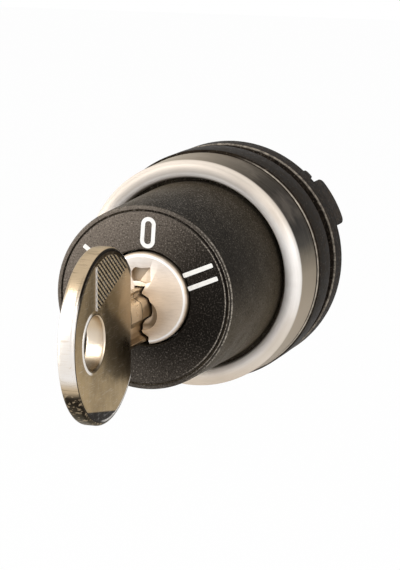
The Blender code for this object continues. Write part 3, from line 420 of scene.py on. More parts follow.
marks = {
    "zeroRadius": 8.03,
    "zeroTurn": 3.6,
    "zeroHeight": 3.85,
    "zeroWidth": 1.88,
    "stroke": 0.5,
    "oneTurn": -52.5,
    "twoTurn": 67.2,
    "barRadius": 7.86,
    "barLength": 4.05,
    "barApart": 1.7,
    "barWidth": 0.56,
    "barCorner": 0.12,
    "proud": 0.03,
    "sunk": 0.1,
}


def onDial(piece, turn, out, side=0.0):  # stands on the dial, its top away from the centre
    workOn(piece)
    spin = Matrix.Rotation(math.radians(turn), 4, "Y")
    piece.matrix_world = spin @ Matrix.Translation(Vector((side, dial["front"], out)) * mm)
    settle(piece)


def bar(name, turn, side):
    centre = (0, (marks["sunk"] - marks["proud"]) / 2, 0)
    piece = block(name, centre, (marks["barWidth"], marks["proud"] + marks["sunk"], marks["barLength"]))
    pick(piece, "EDGE", lambda a, b: abs(a.y - b.y) > near)
    bpy.ops.mesh.bevel(offset=marks["barCorner"] * mm, segments=4)
    objectMode()
    onDial(piece, turn, marks["barRadius"], side)
    return piece


zero = added("markZero", bpy.ops.mesh.primitive_circle_add, vertices=72, radius=1 * mm, fill_type="NGON",
             rotation=(math.radians(90), 0, 0))
settle(zero)
half = marks["zeroWidth"] / 2
pick(zero, "VERT", lambda at: at.z > 0)  # two half rounds with straight sides between
shift((0, 0, marks["zeroHeight"] / half - 2))
selectAll()
bpy.ops.transform.resize(value=(half, 1, half))
shift((0, 0, half - marks["zeroHeight"] / 2))
bpy.ops.mesh.inset(thickness=marks["stroke"] * mm)
bpy.ops.mesh.delete(type="FACE")
selectAll()
extrude((0, marks["sunk"], 0))
selectAll()
shift((0, -marks["proud"], 0))
closeUp(zero)
onDial(zero, marks["zeroTurn"], marks["zeroRadius"])
one = bar("markOne", marks["oneTurn"], 0)
apart = marks["barApart"] / 2
two = joined(bar("markTwo", marks["twoTurn"], -apart), bar("bar", marks["twoTurn"], apart))
for mark in (zero, one, two):
    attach(mark, "housing")
print("dial made")


# Bezel ring

bezel = {
    "rear": -5.6,
    "rearRadius": 14.85,
    "shoulder": -11.33,
    "shoulderRadius": 14.67,
    "innerRadius": 12.36,
    "nose": 1.0,
    "lipRear": -10.6,
    "boreRadius": 14.0,
}

noseMiddle = (bezel["shoulderRadius"] + bezel["innerRadius"]) / 2
noseHalf = (bezel["shoulderRadius"] - bezel["innerRadius"]) / 2
bezelOutline = [
    (bezel["rearRadius"], bezel["rear"], 0.08),
    *arc((noseMiddle, bezel["shoulder"]), (noseHalf, -bezel["nose"]), 0, math.pi, 24),
    (bezel["innerRadius"], bezel["lipRear"]),
    (bezel["boreRadius"], bezel["lipRear"]),
    (bezel["boreRadius"], bezel["rear"]),
]
ring = spun("bezelRing", bezelOutline, 256)
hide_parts("bezel_ring")
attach(ring, "housing")
print("bezel made")


# Housing, with the thread on its sleeve

body = {
    "neckFront": -26.85,
    "neckRadius": 9.9,
    "neckBore": 8.8,
    "floorFront": -5.8,
    "floorRear": -4.3,
    "floorHole": 6.3,
    "spigotFront": -10.3,
    "spigotRadius": 13.7,
    "spigotBore": 13.0,
    "flangeRadius": 15.13,
    "flangeFront": -5.3,
    "flangeRear": -0.3,
    "chamfer": 0.35,
    "gasketSeat": -1.8,
    "gasketRadius": 14.3,
    "sleeveRadius": 11.05,
    "sleeveCore": 10.72,
    "sleeveStep": 0.9,
    "coreFront": 1.25,
    "sleeveEnd": 15.0,
    "sleeveBore": 9.6,
    "lugPlace": (0, -0.65, 11.9),
    "lugSize": (3.0, 2.9, 1.9),
    "slotPlace": (14.0, 10.3),  # y, and z on both sides
    "slotSize": (3.4, 1.8, 2.4),
    "threadStart": 1.6,
    "threadPitch": 1.5,
    "threadTurns": 8,
    "threadCrest": (0.55, 0.75),  # from the thread's start
    "threadFoot": 1.3,
    "threadSunk": 0.1,
}

bodyOutline = [
    (body["neckBore"], body["neckFront"]),
    (body["neckRadius"], body["neckFront"], 0.2),
    (body["neckRadius"], body["flangeFront"]),
    (body["spigotBore"], body["flangeFront"]),
    (body["spigotBore"], body["spigotFront"]),
    (body["spigotRadius"], body["spigotFront"], 0.15),
    (body["spigotRadius"], body["flangeFront"]),
    (body["flangeRadius"] - body["chamfer"], body["flangeFront"], 0.08),
    (body["flangeRadius"], body["flangeFront"] + body["chamfer"], 0.08),
    (body["flangeRadius"], body["flangeRear"], 0.3),
    (body["gasketRadius"], body["flangeRear"], 0.1),
    (body["gasketRadius"], body["gasketSeat"]),
    (body["sleeveRadius"], body["gasketSeat"]),
    (body["sleeveRadius"], body["sleeveStep"]),
    (body["sleeveCore"], body["coreFront"]),
    (body["sleeveCore"], body["sleeveEnd"], 0.35),
    (body["sleeveBore"], body["sleeveEnd"], 0.15),
    (body["sleeveBore"], body["floorRear"]),
    (body["floorHole"], body["floorRear"]),
    (body["floorHole"], body["floorFront"]),
    (body["neckBore"], body["floorFront"]),
]
housing = spun("housingBody", bodyOutline)
combine(housing, block("lug", body["lugPlace"], body["lugSize"]), "UNION")
for side in (-1, 1):
    slotCentre = (0, body["slotPlace"][0], body["slotPlace"][1] * side)
    combine(housing, block("slot", slotCentre, body["slotSize"]), "DIFFERENCE")
smooth(housing)
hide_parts("housing")
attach(housing, "housing")

root = body["sleeveCore"] - body["threadSunk"]
start = body["threadStart"]
thread = drawRoute("sleeveThread", [
    (root, start, 0),
    (body["sleeveRadius"], start + body["threadCrest"][0], 0),
    (body["sleeveRadius"], start + body["threadCrest"][1], 0),
    (root, start + body["threadFoot"], 0),
])
wind(thread, body["threadPitch"], body["threadTurns"], 96)
bpy.ops.object.mode_set(mode="EDIT")
bpy.ops.mesh.select_all(action="DESELECT")
bpy.ops.mesh.select_mode(type="EDGE")
bpy.ops.mesh.select_non_manifold()  # the two open ends
bpy.ops.mesh.edge_face_add()
closeUp(thread)
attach(thread, "housing")
print("housing made")


# Ring nut

nut = {
    "front": 2.1,
    "rear": 4.98,
    "radius": 15.09,
    "bore": 11.35,
    "lugWall": 12.99,
    "lugHeight": 3.2,
    "lugCorner": 1.2,
    "lugs": ((47.5, 72.5), (167.5, 192.5), (287.5, 312.5)),  # degrees round the axis
    "nibHeight": 0.9,
    "nibCorner": 0.42,
    "nibs": ((40.0, 45.0), (160.0, 165.0), (280.0, 285.0)),
}

nutOutline = [
    (nut["bore"], nut["front"], 0.25),
    (nut["radius"], nut["front"], 0.22),
    (nut["radius"], nut["rear"]),
    (nut["lugWall"], nut["rear"]),
    (nut["bore"], nut["rear"], 0.15),
]
ringNut = spun("ringNut", nutOutline, 144)


def turnOf(at):
    return math.degrees(math.atan2(at.x, at.z)) % 360


def sameTurn(a, b):
    return abs(a - b) < 0.5


def onRim(at, normal):  # the rear face outside the lugs' wall
    return normal.y > 0.9 and abs(at.y - nut["rear"]) < near and Vector((at.x, at.z)).length > nut["lugWall"]


for tooth in ("lug", "nib"):
    spans, height = nut[tooth + "s"], nut[tooth + "Height"]
    pick(ringNut, "FACE", lambda at, normal: onRim(at, normal)
         and any(low < turnOf(at) < high for low, high in spans))
    extrude((0, height, 0))
    top = nut["rear"] + height
    ends = [limit for span in spans for limit in span]
    pick(ringNut, "EDGE", lambda a, b: min(a.y, b.y) > top - near and sameTurn(turnOf(a), turnOf(b))
         and any(sameTurn(turnOf(a), limit) for limit in ends))
    bpy.ops.mesh.bevel(offset=nut[tooth + "Corner"] * mm, segments=4)
    objectMode()
smooth(ringNut)
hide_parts("ring_nut")
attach(ringNut, "ring_nut")
print("nut made")


# Blade section, shared by the key and the keyway

bladeSection = [
    (0.02, 1.35), (-0.25, 0.92), (-0.25, 0.50), (0.62, 0.0), (0.78, -0.38), (0.93, -1.54), (0.84, -2.05),
    (0.05, -2.58), (-0.31, -3.20), (-0.31, -3.95), (-0.05, -4.38), (0.60, -4.78), (0.60, -5.15),
    (-0.85, -5.15), (-0.85, -2.60), (-0.40, -2.25), (-0.40, -0.85), (-0.85, -0.50), (-0.85, 1.35),
]
bladeTop = max(height for across, height in bladeSection)
bladeFoot = min(height for across, height in bladeSection)


def grown(outline, gap):  # each side moved outwards
    area = sum(a[0] * b[1] - b[0] * a[1] for a, b in zip(outline, outline[1:] + outline[:1]))
    side = gap if area > 0 else -gap
    moved = []
    for i, corner in enumerate(outline):
        before = (Vector(corner) - Vector(outline[i - 1])).normalized()
        after = (Vector(outline[(i + 1) % len(outline)]) - Vector(corner)).normalized()
        outBefore = Vector((before.y, -before.x))
        outAfter = Vector((after.y, -after.x))
        way = (outBefore + outAfter) * side / (1 + outBefore.dot(outAfter))
        moved.append((corner[0] + way.x, corner[1] + way.y))
    return moved


# Lock plug

plug = {
    "front": -29.7,
    "headRadius": 5.67,
    "headRear": -25.0,
    "radius": 5.35,
    "rear": -4.3,
    "chamfer": 0.38,
    "keywayGap": 0.2,
    "keywayEnd": -8.0,
    "ledge": ((-0.45, 2.17), (0.45, 1.88), (1.06, 2.08), (1.02, 3.94), (0.86, 3.90)),
    "ledgeDepth": 0.35,
    "deep": ((-0.42, 2.15), (0.90, 3.92), (-0.05, 3.79), (-0.84, 3.86),
             (-1.13, 3.74), (-1.45, 3.28), (-1.45, 2.60), (-1.22, 2.11)),
    "deepDepth": 0.8,
    "cutterReach": 0.5,  # past the face and the foot
    "recessRadius": 1.9,
    "recessDrop": 2.0,
    "recessDepth": 0.45,
}

plugOutline = [
    (0, plug["front"]),
    (plug["headRadius"] - plug["chamfer"], plug["front"], 0.08),
    (plug["headRadius"], plug["front"] + plug["chamfer"], 0.08),
    (plug["headRadius"], plug["headRear"]),
    (plug["radius"], plug["headRear"]),
    (plug["radius"], plug["rear"]),
    (0, plug["rear"]),
]
lockPlug = spun("lockPlug", plugOutline, 160)
front = plug["front"]
below = -plug["headRadius"] - plug["cutterReach"]  # the keyway is open at the plug's foot
before = front - plug["cutterReach"]
keyway = [(x, z if z > bladeFoot else below) for x, z in grown(bladeSection, plug["keywayGap"])]
combine(lockPlug, slab("keyway", keyway, "Y", before, plug["keywayEnd"]), "DIFFERENCE")
for pocket in ("deep", "ledge"):
    tool = slab(pocket, plug[pocket], "Y", before, front + plug[pocket + "Depth"])
    combine(lockPlug, tool, "DIFFERENCE")
tool = rod("recess", plug["recessRadius"], front - past, front + plug["recessDepth"], 96,
           (0, -plug["recessDrop"]))
combine(lockPlug, tool, "DIFFERENCE")
softenEdges(lockPlug, 0.05, 35)
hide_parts("lock_plug")
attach(lockPlug, "plug")
print("plug made")


# Key

keySizes = {
    "bowRadius": 10.45,
    "bowCentre": -44.08,
    "bowDrop": 1.78,
    "thickness": 2.1,
    "edge": 0.5,
    "shoulder": -36.0,
    "holeRadius": 3.15,
    "holeCentre": -48.22,
    "holeChamfer": 0.15,
    "beadWidth": 0.58,
    "beadHeight": 0.12,
    "beadSunk": 0.2,
    "panelHeight": 0.2,
    "panelRadius": 9.55,
    "panelLeft": -47.7,
    "panelFoot": 1.73,
    "panelRight": -37.9,
    "bladeRoot": -37.2,
    "sideReach": 2.0,
    "tip": -8.3,
    "tipPeak": (1.2, 0.7),  # back from the tip, down from the blade's top
    "tipDrop": 1.7,
    "tipChamfer": 0.8,
    "pins": (-22.6, -19.5, -16.4, -13.3, -10.2),
    "cuts": (0.9, 0.4, 1.2, 0.7, 1.0),
    "cutFlat": 0.8,
}

bowPlace = (keySizes["bowCentre"], -keySizes["bowDrop"])
key = added("switchKey", bpy.ops.mesh.primitive_cylinder_add, vertices=192, radius=keySizes["bowRadius"] * mm,
            depth=keySizes["thickness"] * mm, location=Vector((0, *bowPlace)) * mm,
            rotation=(0, math.radians(90), 0))
settle(key)
editAll()
bpy.ops.mesh.bisect(plane_co=(0, keySizes["shoulder"] * mm, 0), plane_no=(0, 1, 0),
                    use_fill=True, clear_outer=True)
halfThick = keySizes["thickness"] / 2
pick(key, "EDGE", lambda a, b: abs(abs(a.x) - halfThick) < near and abs(a.x - b.x) < near)
bpy.ops.mesh.bevel(offset=keySizes["edge"] * mm, segments=5)
objectMode()

# raised grip panel on both faces: an edge in front, the bow's round above, a slant behind
panelRadius = keySizes["panelRadius"]
panelTurns = [math.acos((keySizes[end] - bowPlace[0]) / panelRadius) for end in ("panelLeft", "panelRight")]
panelOutline = [(keySizes["panelLeft"], keySizes["panelFoot"])]
panelOutline += arc(bowPlace, (panelRadius, panelRadius), *panelTurns, 24)
reach = halfThick + keySizes["panelHeight"]
grip = slab("grip", panelOutline, "X", -reach, reach)
softenEdges(grip, 0.05, 40)
combine(key, grip, "UNION")


def acrossKey(name, outline):  # turned about X, through the ring hole
    tool = spun(name, outline, 128)
    tool.rotation_euler = (0, 0, math.radians(-90))
    tool.location = Vector((0, keySizes["holeCentre"], -keySizes["bowDrop"])) * mm
    settle(tool)
    return tool


hole = keySizes["holeRadius"]
bead = keySizes["beadHeight"]
rise = halfThick + bead
beadFoot = hole + keySizes["beadWidth"]
sunk = keySizes["beadSunk"]
beadOutline = [
    (hole - past, -rise),
    (beadFoot - bead, -rise, 0.08),
    (beadFoot + sunk, -halfThick + sunk),
    (beadFoot + sunk, halfThick - sunk),
    (beadFoot - bead, rise, 0.08),
    (hole - past, rise),
]
combine(key, acrossKey("bead", beadOutline), "UNION")
chamfer = keySizes["holeChamfer"]
holeOutline = [
    (0, -rise - past),
    (hole + chamfer + past, -rise - past),
    (hole, -rise + chamfer, 0.12),
    (hole, rise - chamfer, 0.12),
    (hole + chamfer + past, rise + past),
    (0, rise + past),
]
combine(key, acrossKey("ringHole", holeOutline), "DIFFERENCE")

# the blade: its section pushed along Y, then cut to the side view with the pins' cuts
tip = keySizes["tip"]
root = keySizes["bladeRoot"]
flat = keySizes["cutFlat"] / 2
spans = list(zip(keySizes["pins"], keySizes["cuts"]))
blade = slab("blade", bladeSection, "Y", root, tip + past)
sideOutline = [
    (root - past, bladeFoot - past),
    (root - past, bladeTop + past),
    (spans[0][0] - flat - spans[0][1] - past, bladeTop + past),
]
for i, (at, depth) in enumerate(spans):  # a flat under each pin, and slopes of 45 degrees
    sideOutline += [(at - flat, bladeTop - depth), (at + flat, bladeTop - depth)]
    if i + 1 < len(spans):
        following, followingDepth = spans[i + 1]
        meet = (at + following + depth - followingDepth) / 2
        sideOutline.append((meet, bladeTop - depth + meet - at - flat))
sideOutline += [
    (tip - keySizes["tipPeak"][0], bladeTop - keySizes["tipPeak"][1]),
    (tip, bladeTop - keySizes["tipDrop"]),
    (tip, bladeFoot + keySizes["tipChamfer"]),
    (tip - keySizes["tipChamfer"] - past, bladeFoot - past),
]
cutter = slab("side", sideOutline, "X", -keySizes["sideReach"], keySizes["sideReach"])
combine(blade, cutter, "INTERSECT")
softenEdges(blade, 0.06, 25)
combine(key, blade, "UNION")
smooth(key)
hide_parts("key")
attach(key, "key")
print("key made")


# Plungers and rear cover

rear = {
    "coverRadius": 9.3,
    "coverFront": 12.7,
    "coverRear": 15.0,
    "rimWidth": 0.9,
    "journalHole": 3.2,
    "journalRim": 0.8,
    "sunk": 0.25,
    "tabPlace": (13.9, 9.7),  # y, and z on both sides
    "tabSize": (2.8, 1.2, 1.4),
    "plungerOffset": 6.4,
    "plungerRadius": 1.5,
    "plungerGap": 0.2,
    "plungerTip": 2.65,
    "plungerRear": 17.6,
    "flangeRadius": 2.4,
    "flangeFront": 6.05,
    "flangeRear": 7.05,
}

rimInner = rear["coverRadius"] - rear["rimWidth"]
journalOuter = rear["journalHole"] + rear["journalRim"]
sunkFace = rear["coverRear"] - rear["sunk"]
coverOutline = [
    (rear["journalHole"], rear["coverFront"]),
    (rear["coverRadius"], rear["coverFront"]),
    (rear["coverRadius"], rear["coverRear"], 0.15),
    (rimInner, rear["coverRear"], 0.08),
    (rimInner, sunkFace),
    (journalOuter, sunkFace),
    (journalOuter, rear["coverRear"], 0.08),
    (rear["journalHole"], rear["coverRear"], 0.1),
]
cover = spun("rearCover", coverOutline, 144)
boreRadius = rear["plungerRadius"] + rear["plungerGap"]
for side in (-1, 1):
    tool = rod("bore", boreRadius, rear["coverFront"] - past, rear["coverRear"] + past, 64,
               (side * rear["plungerOffset"], 0))
    combine(cover, tool, "DIFFERENCE")
    tabCentre = (0, rear["tabPlace"][0], side * rear["tabPlace"][1])
    combine(cover, block("tab", tabCentre, rear["tabSize"]), "UNION")
softenEdges(cover, 0.06, 40)
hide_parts("rear_cover")
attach(cover, "housing")

rodRadius = rear["plungerRadius"]
plungerOutline = arc((0, rear["plungerTip"] + rodRadius), (rodRadius, rodRadius), -math.pi / 2, 0, 8)
plungerOutline += [
    (rodRadius, rear["flangeFront"]),
    (rear["flangeRadius"], rear["flangeFront"], 0.1),
    (rear["flangeRadius"], rear["flangeRear"], 0.1),
    (rodRadius, rear["flangeRear"]),
    (rodRadius, rear["plungerRear"], 0.3),
    (0, rear["plungerRear"]),
]
plungers = []
for side, name in ((-1, "left"), (1, "right")):
    plunger = spun(f"plunger_{name}_rod", plungerOutline, 48, (side * rear["plungerOffset"], 0))
    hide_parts(f"plunger_{name}")
    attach(plunger, f"plunger_{name}")
    plungers.append(plunger)

# each plunger's spring: a ring of wire wound along Y, squeezed between the plunger's flange and the cover
springSizes = {"wire": 0.4, "radius": 1.9, "turns": 5, "front": 7.25, "rear": 13.1}
wire = springSizes["wire"]
springPitch = (springSizes["rear"] - springSizes["front"] - wire) / springSizes["turns"]
springs = []
for side, name in ((-1, "left"), (1, "right")):
    place = Vector((springSizes["radius"], springSizes["front"] + wire / 2, 0)) * mm
    spring = added(f"plunger_{name}_coil", bpy.ops.mesh.primitive_circle_add, vertices=14,
                   radius=wire / 2 * mm, location=place)
    settle(spring)
    wind(spring, springPitch, springSizes["turns"], 32)
    editAll()
    bpy.ops.mesh.fill_holes(sides=0)
    selectAll()
    bpy.ops.mesh.normals_make_consistent(inside=False)
    smooth(spring, 40)
    spring.location = Vector((side * rear["plungerOffset"], 0, 0)) * mm
    settle(spring)
    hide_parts(f"plunger_spring_{name}")
    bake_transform(spring)
    springs.append(spring)
print("rear made")


# Finishes. Masks are places on the piece in mm, and turns in radians from the top.

def speckled(name, colour, lighter, rough, grain=0.02, specks=0.5):  # fine moulding with tiny glints
    look = Finish(name, colour, rough)
    patches = look.noise(260, 3).between(0.35, 0.7)
    glint = look.noise(5200, 1).between(0.62, 0.75)
    glintColour = [0.25 + 3 * part for part in lighter]
    look.set("Base Color", look.paint(colour, (patches, lighter), (glint * specks, glintColour)))
    look.set("Roughness", rough + 0.12 * patches - 0.1 * glint)
    look.bump(look.noise(3800, 2), grain, 0.6)
    return look


def satinMetal(name, colour, darker, rough, way=(1, 1, 1), scratches=0.4):
    look = Finish(name, colour, rough, 1.0)
    lines = look.noise(900, 3, 0.6, look.stretched(*way))
    cloud = look.noise(140, 3)
    dark = lines.between(0.3, 0.75) * scratches + cloud.between(0.4, 0.8) * 0.3
    look.set("Base Color", look.blend(dark, colour, darker))
    look.set("Roughness", rough + 0.14 * lines - 0.05)
    look.bump(lines, 0.01, 0.35)
    return look


# bezel: satin titanium-silver, brushed round the ring, its skirt darker than its nose; light and shade are
# painted on it: a painted highlight on the inner crown and on the right, painted shade at the upper left, a
# painted warm light towards the bottom, painted shade at the inner edge and on the rear face, and painted
# reflections round the skirt, light and dark by turn
bezelLook = {
    "nose": (0.71, 0.63, 0.545),
    "crown": (0.97, 0.92, 0.87),
    "upperLeft": (0.44, 0.39, 0.34),
    "low": (0.62, 0.52, 0.41),
    "lit": (1.0, 0.97, 0.94),
    "inner": (0.20, 0.165, 0.13),
    "shade": (0.45, 0.38, 0.31),
    "rear": (0.05, 0.04, 0.03),
    "metal": 0.35,
    "rough": 0.42,
    "specular": 0.02,
    "tint": (0.7, 0.62, 0.52, 1),
    # the skirt's colours are painted reflections, light and dark round the turn
    "skirt": (  # share of a turn, colour
        (0.0, (0.32, 0.27, 0.21)), (0.45, (0.36, 0.31, 0.24)), (0.5, (0.24, 0.20, 0.15)),
        (0.556, (0.12, 0.10, 0.075)), (0.599, (0.035, 0.028, 0.020)), (0.64, (0.016, 0.013, 0.011)),
        (0.684, (0.024, 0.022, 0.019)), (0.704, (0.05, 0.045, 0.038)), (0.717, (0.14, 0.12, 0.09)),
        (0.743, (0.31, 0.26, 0.195)), (0.794, (0.38, 0.315, 0.24)), (0.86, (0.36, 0.30, 0.23)),
    ),
}
look = Finish("bezelSatin", bezelLook["nose"], bezelLook["rough"], bezelLook["metal"])
look.set("Specular IOR Level", bezelLook["specular"])
look.set("Specular Tint", bezelLook["tint"])
x, y, z = look.axes()
radius = fromCentre(x, z)
turn = x.apply("ARCTAN2", z)
around = look.node("ShaderNodeCombineXYZ", {}, {0: radius, 1: y, 2: turn * 0.6})
brushing = look.noise(7, 4, 0.6, around)
worn = look.noise(300, 3).between(0.45, 0.75)
# painted shade at the upper left, painted highlight on the right
upperLeft = z.between(5, 10) * radius.stripe(12.9, 13.3, 14.2, 14.5) * x.below(6, 11)
lit = x.between(9, 13) * z.stripe(-8, -1, 3, 9)
onSkirt = radius.between(14.35, 14.62) * y.between(-11.7, -11.2)
# painted light and shade: highlight on the inner crown and on the right, shade at the upper left and the
# inner edge, warm light towards the bottom, reflections on the skirt, shade on the rear face
look.set("Base Color", look.paint(
    bezelLook["crown"],
    (radius.between(13.1, 14.0), bezelLook["nose"]),
    (upperLeft * 0.75, bezelLook["upperLeft"]),
    (z.below(-14, -10) * 0.7, bezelLook["low"]),
    (lit * 0.8, bezelLook["lit"]),
    (radius.below(12.42, 12.7) * 0.9, bezelLook["inner"]),
    (onSkirt, look.ramp(turn / (2 * math.pi) + 0.5, bezelLook["skirt"])),
    (brushing.between(0.4, 0.75) * 0.12 + worn * 0.15, bezelLook["shade"]),
    (y.between(-5.95, -5.6), bezelLook["rear"]),
))
look.set("Metallic", bezelLook["metal"] * (1 - 0.9 * onSkirt))
look.set("Roughness", bezelLook["rough"] + 0.1 * brushing)
look.bump(brushing, 0.01, 0.25)
look.onto(ring)

# collar: fine black moulding; on the dial a painted reflection, lighter towards the upper left, painted shade
# in the groove, and painted highlights on the rim and on lines by the rim; its side painted a lighter brown
# as painted light, with painted shade towards the upper right and on the left
collarLook = {
    "colour": (0.010, 0.0085, 0.007),
    "sheen": (0.150, 0.125, 0.103),
    "side": (0.072, 0.057, 0.038),
    "glint": (0.30, 0.26, 0.22),
    "pit": (0.003, 0.003, 0.002),
    "rim": (0.10, 0.09, 0.075),
    "line": (0.36, 0.32, 0.27),
    "groove": (0.002, 0.002, 0.002),
    "lines": ((10.36, 10.42, 10.48, 10.54), (10.86, 10.91, 10.96, 11.02), (11.2, 11.26, 11.36, 11.42)),
    "rough": 0.42,
    "specular": 0.02,
}
look = Finish("collarBlack", collarLook["colour"], collarLook["rough"])
look.set("Specular IOR Level", collarLook["specular"])
x, y, z = look.axes()
radius = fromCentre(x, z)
turn = x.apply("ARCTAN2", z)
onFace = y.below(dial["front"] + 0.05, dial["front"] + 0.2)
groove = radius.stripe(10.6, 10.7, 10.86, 10.92) * onFace
rim = radius.between(10.95, 11.1) * onFace
# painted reflection on the dial face, lighter towards the upper left and a little towards the bottom
paintedSheen = largest((z * 0.75 - x * 0.66).between(-6, 12.5), z.between(-11, -3, 0.42, 0))
grains = look.noise(4800, 2, 0.8)
glint = grains.between(0.55, 0.68)
patches = look.noise(420, 3).between(0.35, 0.7)
# painted shade on the side towards the upper right and on the left; the rim lines are lit only on the right
shaded = (turn - 0.75).apply("COSINE").between(0.35, 0.95)
facesLeft = (turn + 1.6).apply("COSINE").between(0.2, 0.9)
facesRight = (turn - 1.6).apply("COSINE").between(0.35, 0.95)
lines = largest(*[radius.stripe(*line) for line in collarLook["lines"]])
sideTone = look.paint(
    collarLook["side"],
    (patches * 0.08 + shaded * y.between(-26, -12, 0.85, 0.45), collarLook["colour"]),
    (facesLeft * 0.6, collarLook["colour"]),
)
# over the side's painted light and shade: the dial's painted reflection, glints, dark pits, painted
# highlights on the rim and rim lines, painted shade in the groove
look.set("Base Color", look.paint(
    sideTone,
    (onFace, look.blend(paintedSheen ** 1.6, collarLook["colour"], collarLook["sheen"])),
    (glint * (0.16 + 0.5 * paintedSheen), collarLook["glint"]),
    (grains.below(0.30, 0.47) * 0.8, collarLook["pit"]),
    (rim * 0.2, collarLook["rim"]),
    (lines * onFace * facesRight * (0.2 + 0.8 * grains.between(0.42, 0.58)), collarLook["line"]),
    (groove, collarLook["groove"]),
))
look.set("Roughness", collarLook["rough"] + 0.1 * patches - 0.1 * glint + 0.2 * groove)
look.bump(grains, 0.016, 0.6)
look.onto(collar)

# dial print: off-white, worn in spots
printLook = {
    "colour": (0.62, 0.60, 0.55),
    "fresh": (0.72, 0.71, 0.68),
    "worn": (0.45, 0.43, 0.40),
    "rough": 0.45,
}
look = Finish("dialPrint", printLook["colour"], 0.5)
worn = look.noise(1500, 3, 0.6).between(0.5, 0.72)
look.set("Base Color", look.blend(worn * 0.45, printLook["fresh"], printLook["worn"]))
look.set("Roughness", printLook["rough"] + 0.2 * worn)
look.bump(worn, 0.01, 0.4)
look.onto(zero, one, two)

# housing: brown-black moulding with a painted highlight along the front edge on the right and painted glints
# in its grain, its sleeve a plain black
housingLook = {
    "colour": (0.014, 0.011, 0.008),
    "flange": (0.011, 0.008, 0.0055),
    "patch": (0.027, 0.019, 0.012),
    "sleeve": (0.012, 0.0115, 0.011),
    "glintSpeck": (0.17, 0.14, 0.11),
    "edge": (0.66, 0.58, 0.48),
    "rough": 0.42,
    "specular": 0.015,
}
look = Finish("housingBlack", housingLook["colour"], 0.45)
look.set("Specular IOR Level", housingLook["specular"])
x, y, z = look.axes()
# painted highlight along the flange's front chamfer, on the right side only
edge = fromCentre(x, z).between(14.8, 14.88) * y.below(-5.18, -5.06) * x.between(3, 10)
grains = look.noise(3600, 2, 0.7)
patches = look.noise(1300, 3, 0.6).between(0.3, 0.75)
flange = y.below(-0.4, 0.4)
# painted glints in the grain, and the painted highlight on the front edge
look.set("Base Color", look.paint(
    housingLook["sleeve"],
    (flange, look.blend(patches * 0.7, housingLook["flange"], housingLook["patch"])),
    (grains.between(0.6, 0.72) * (0.25 + 0.25 * flange), housingLook["glintSpeck"]),
    (edge * (0.45 + 0.55 * patches), housingLook["edge"]),
))
look.set("Roughness", housingLook["rough"] + 0.12 * patches)
look.bump(grains, 0.018, 0.6)
look.onto(housing, thread)

look = speckled("gasketRubber", (0.006, 0.006, 0.006), (0.013, 0.012, 0.011), 0.7, 0.01, 0.08)
look.set("Specular IOR Level", 0.1)
look.ontoNode("panel_gasket")

# ring nut: brown-black moulding, rough and grimy on its lugs, with a painted highlight along its front edge
nutLook = {
    "colour": (0.03, 0.024, 0.019),
    "clean": (0.009, 0.007, 0.0055),
    "grime": (0.030, 0.022, 0.016),
    "lugGrime": (0.085, 0.066, 0.050),
    "glint": (0.22, 0.18, 0.14),
    "edge": (0.38, 0.33, 0.27),
    "lugFoot": (0.006, 0.005, 0.004),
    "rough": 0.42,
    "specular": 0.02,
}
look = Finish("nutBlack", nutLook["colour"], 0.48)
look.set("Specular IOR Level", nutLook["specular"])
x, y, z = look.axes()
onLugs = y.between(4.95, 5.3)
grime = look.noise(1400, 4, 0.75).between(0.38, 0.66)
glint = look.noise(4200, 1).between(0.6, 0.75)
# painted highlight along the front edge
edge = fromCentre(x, z).between(14.8, 14.95) * y.below(2.2, 2.32)
look.set("Base Color", look.paint(
    nutLook["clean"],
    (grime, nutLook["grime"]),
    (grime * onLugs * 0.35, nutLook["lugGrime"]),
    (glint * 0.35, nutLook["glint"]),
    (edge * (0.3 + 0.6 * grime), nutLook["edge"]),
    (y.between(4.7, 4.95) * (1 - onLugs) * 0.8, nutLook["lugFoot"]),
))
look.set("Roughness", nutLook["rough"] + 0.15 * grime)
look.bump(grime, 0.05, 0.7)
look.onto(ringNut)

# plug: warm brushed nickel face, paler towards the top as a painted highlight, a painted highlight on the
# rim, brown in its hollows, painted shade in the recess's lower crescent and deep in the keyway
plugLook = {
    "colour": (0.91, 0.79, 0.67),
    "pale": (0.65, 0.62, 0.595),
    "deep": (0.36, 0.27, 0.18),
    "rim": (0.90, 0.88, 0.86),
    "hollow": (0.45, 0.35, 0.24),
    "crescent": (0.21, 0.15, 0.09),
    "depth": (0.02, 0.015, 0.01),
    "rough": 0.46,
}
look = Finish("plugNickel", plugLook["colour"], plugLook["rough"], 1.0)
x, y, z = look.axes()
strokes = look.noise(1, 4, 0.6, look.stretched(900, 900, 5000))
cloud = look.noise(700, 3).between(0.35, 0.7)
fromRecess = fromCentre(x, z + plug["recessDrop"])
inside = y.between(-29.66, -29.35)
hollow = inside * fromRecess.between(1.85, 1.95)
rim = fromCentre(x, z).between(5.15, 5.25) * (1 - inside)
crescent = inside * fromRecess.stripe(0.9, 1.4, 1.92, 2.0) * z.between(-4.0, -3.2)
# painted light and shade: highlight towards the top and on the rim, shade in the recess's lower crescent and
# deep inside the keyway
look.set("Base Color", look.paint(
    plugLook["colour"],
    (z.between(1.5, 5.0) * 0.8, plugLook["pale"]),
    (strokes.between(0.42, 0.7) * 0.12 + cloud * 0.08, plugLook["deep"]),
    (rim * 0.8, plugLook["rim"]),
    (hollow * (0.6 + 0.4 * cloud), plugLook["hollow"]),
    (crescent * 0.85, plugLook["crescent"]),
    (y.between(-29.2, -28.3) * 0.85, plugLook["depth"]),
))
look.set("Roughness", plugLook["rough"] + 0.12 * strokes + 0.1 * inside)
look.bump(strokes + 0.8 * hollow * cloud, 0.01, 0.5)
look.onto(lockPlug)

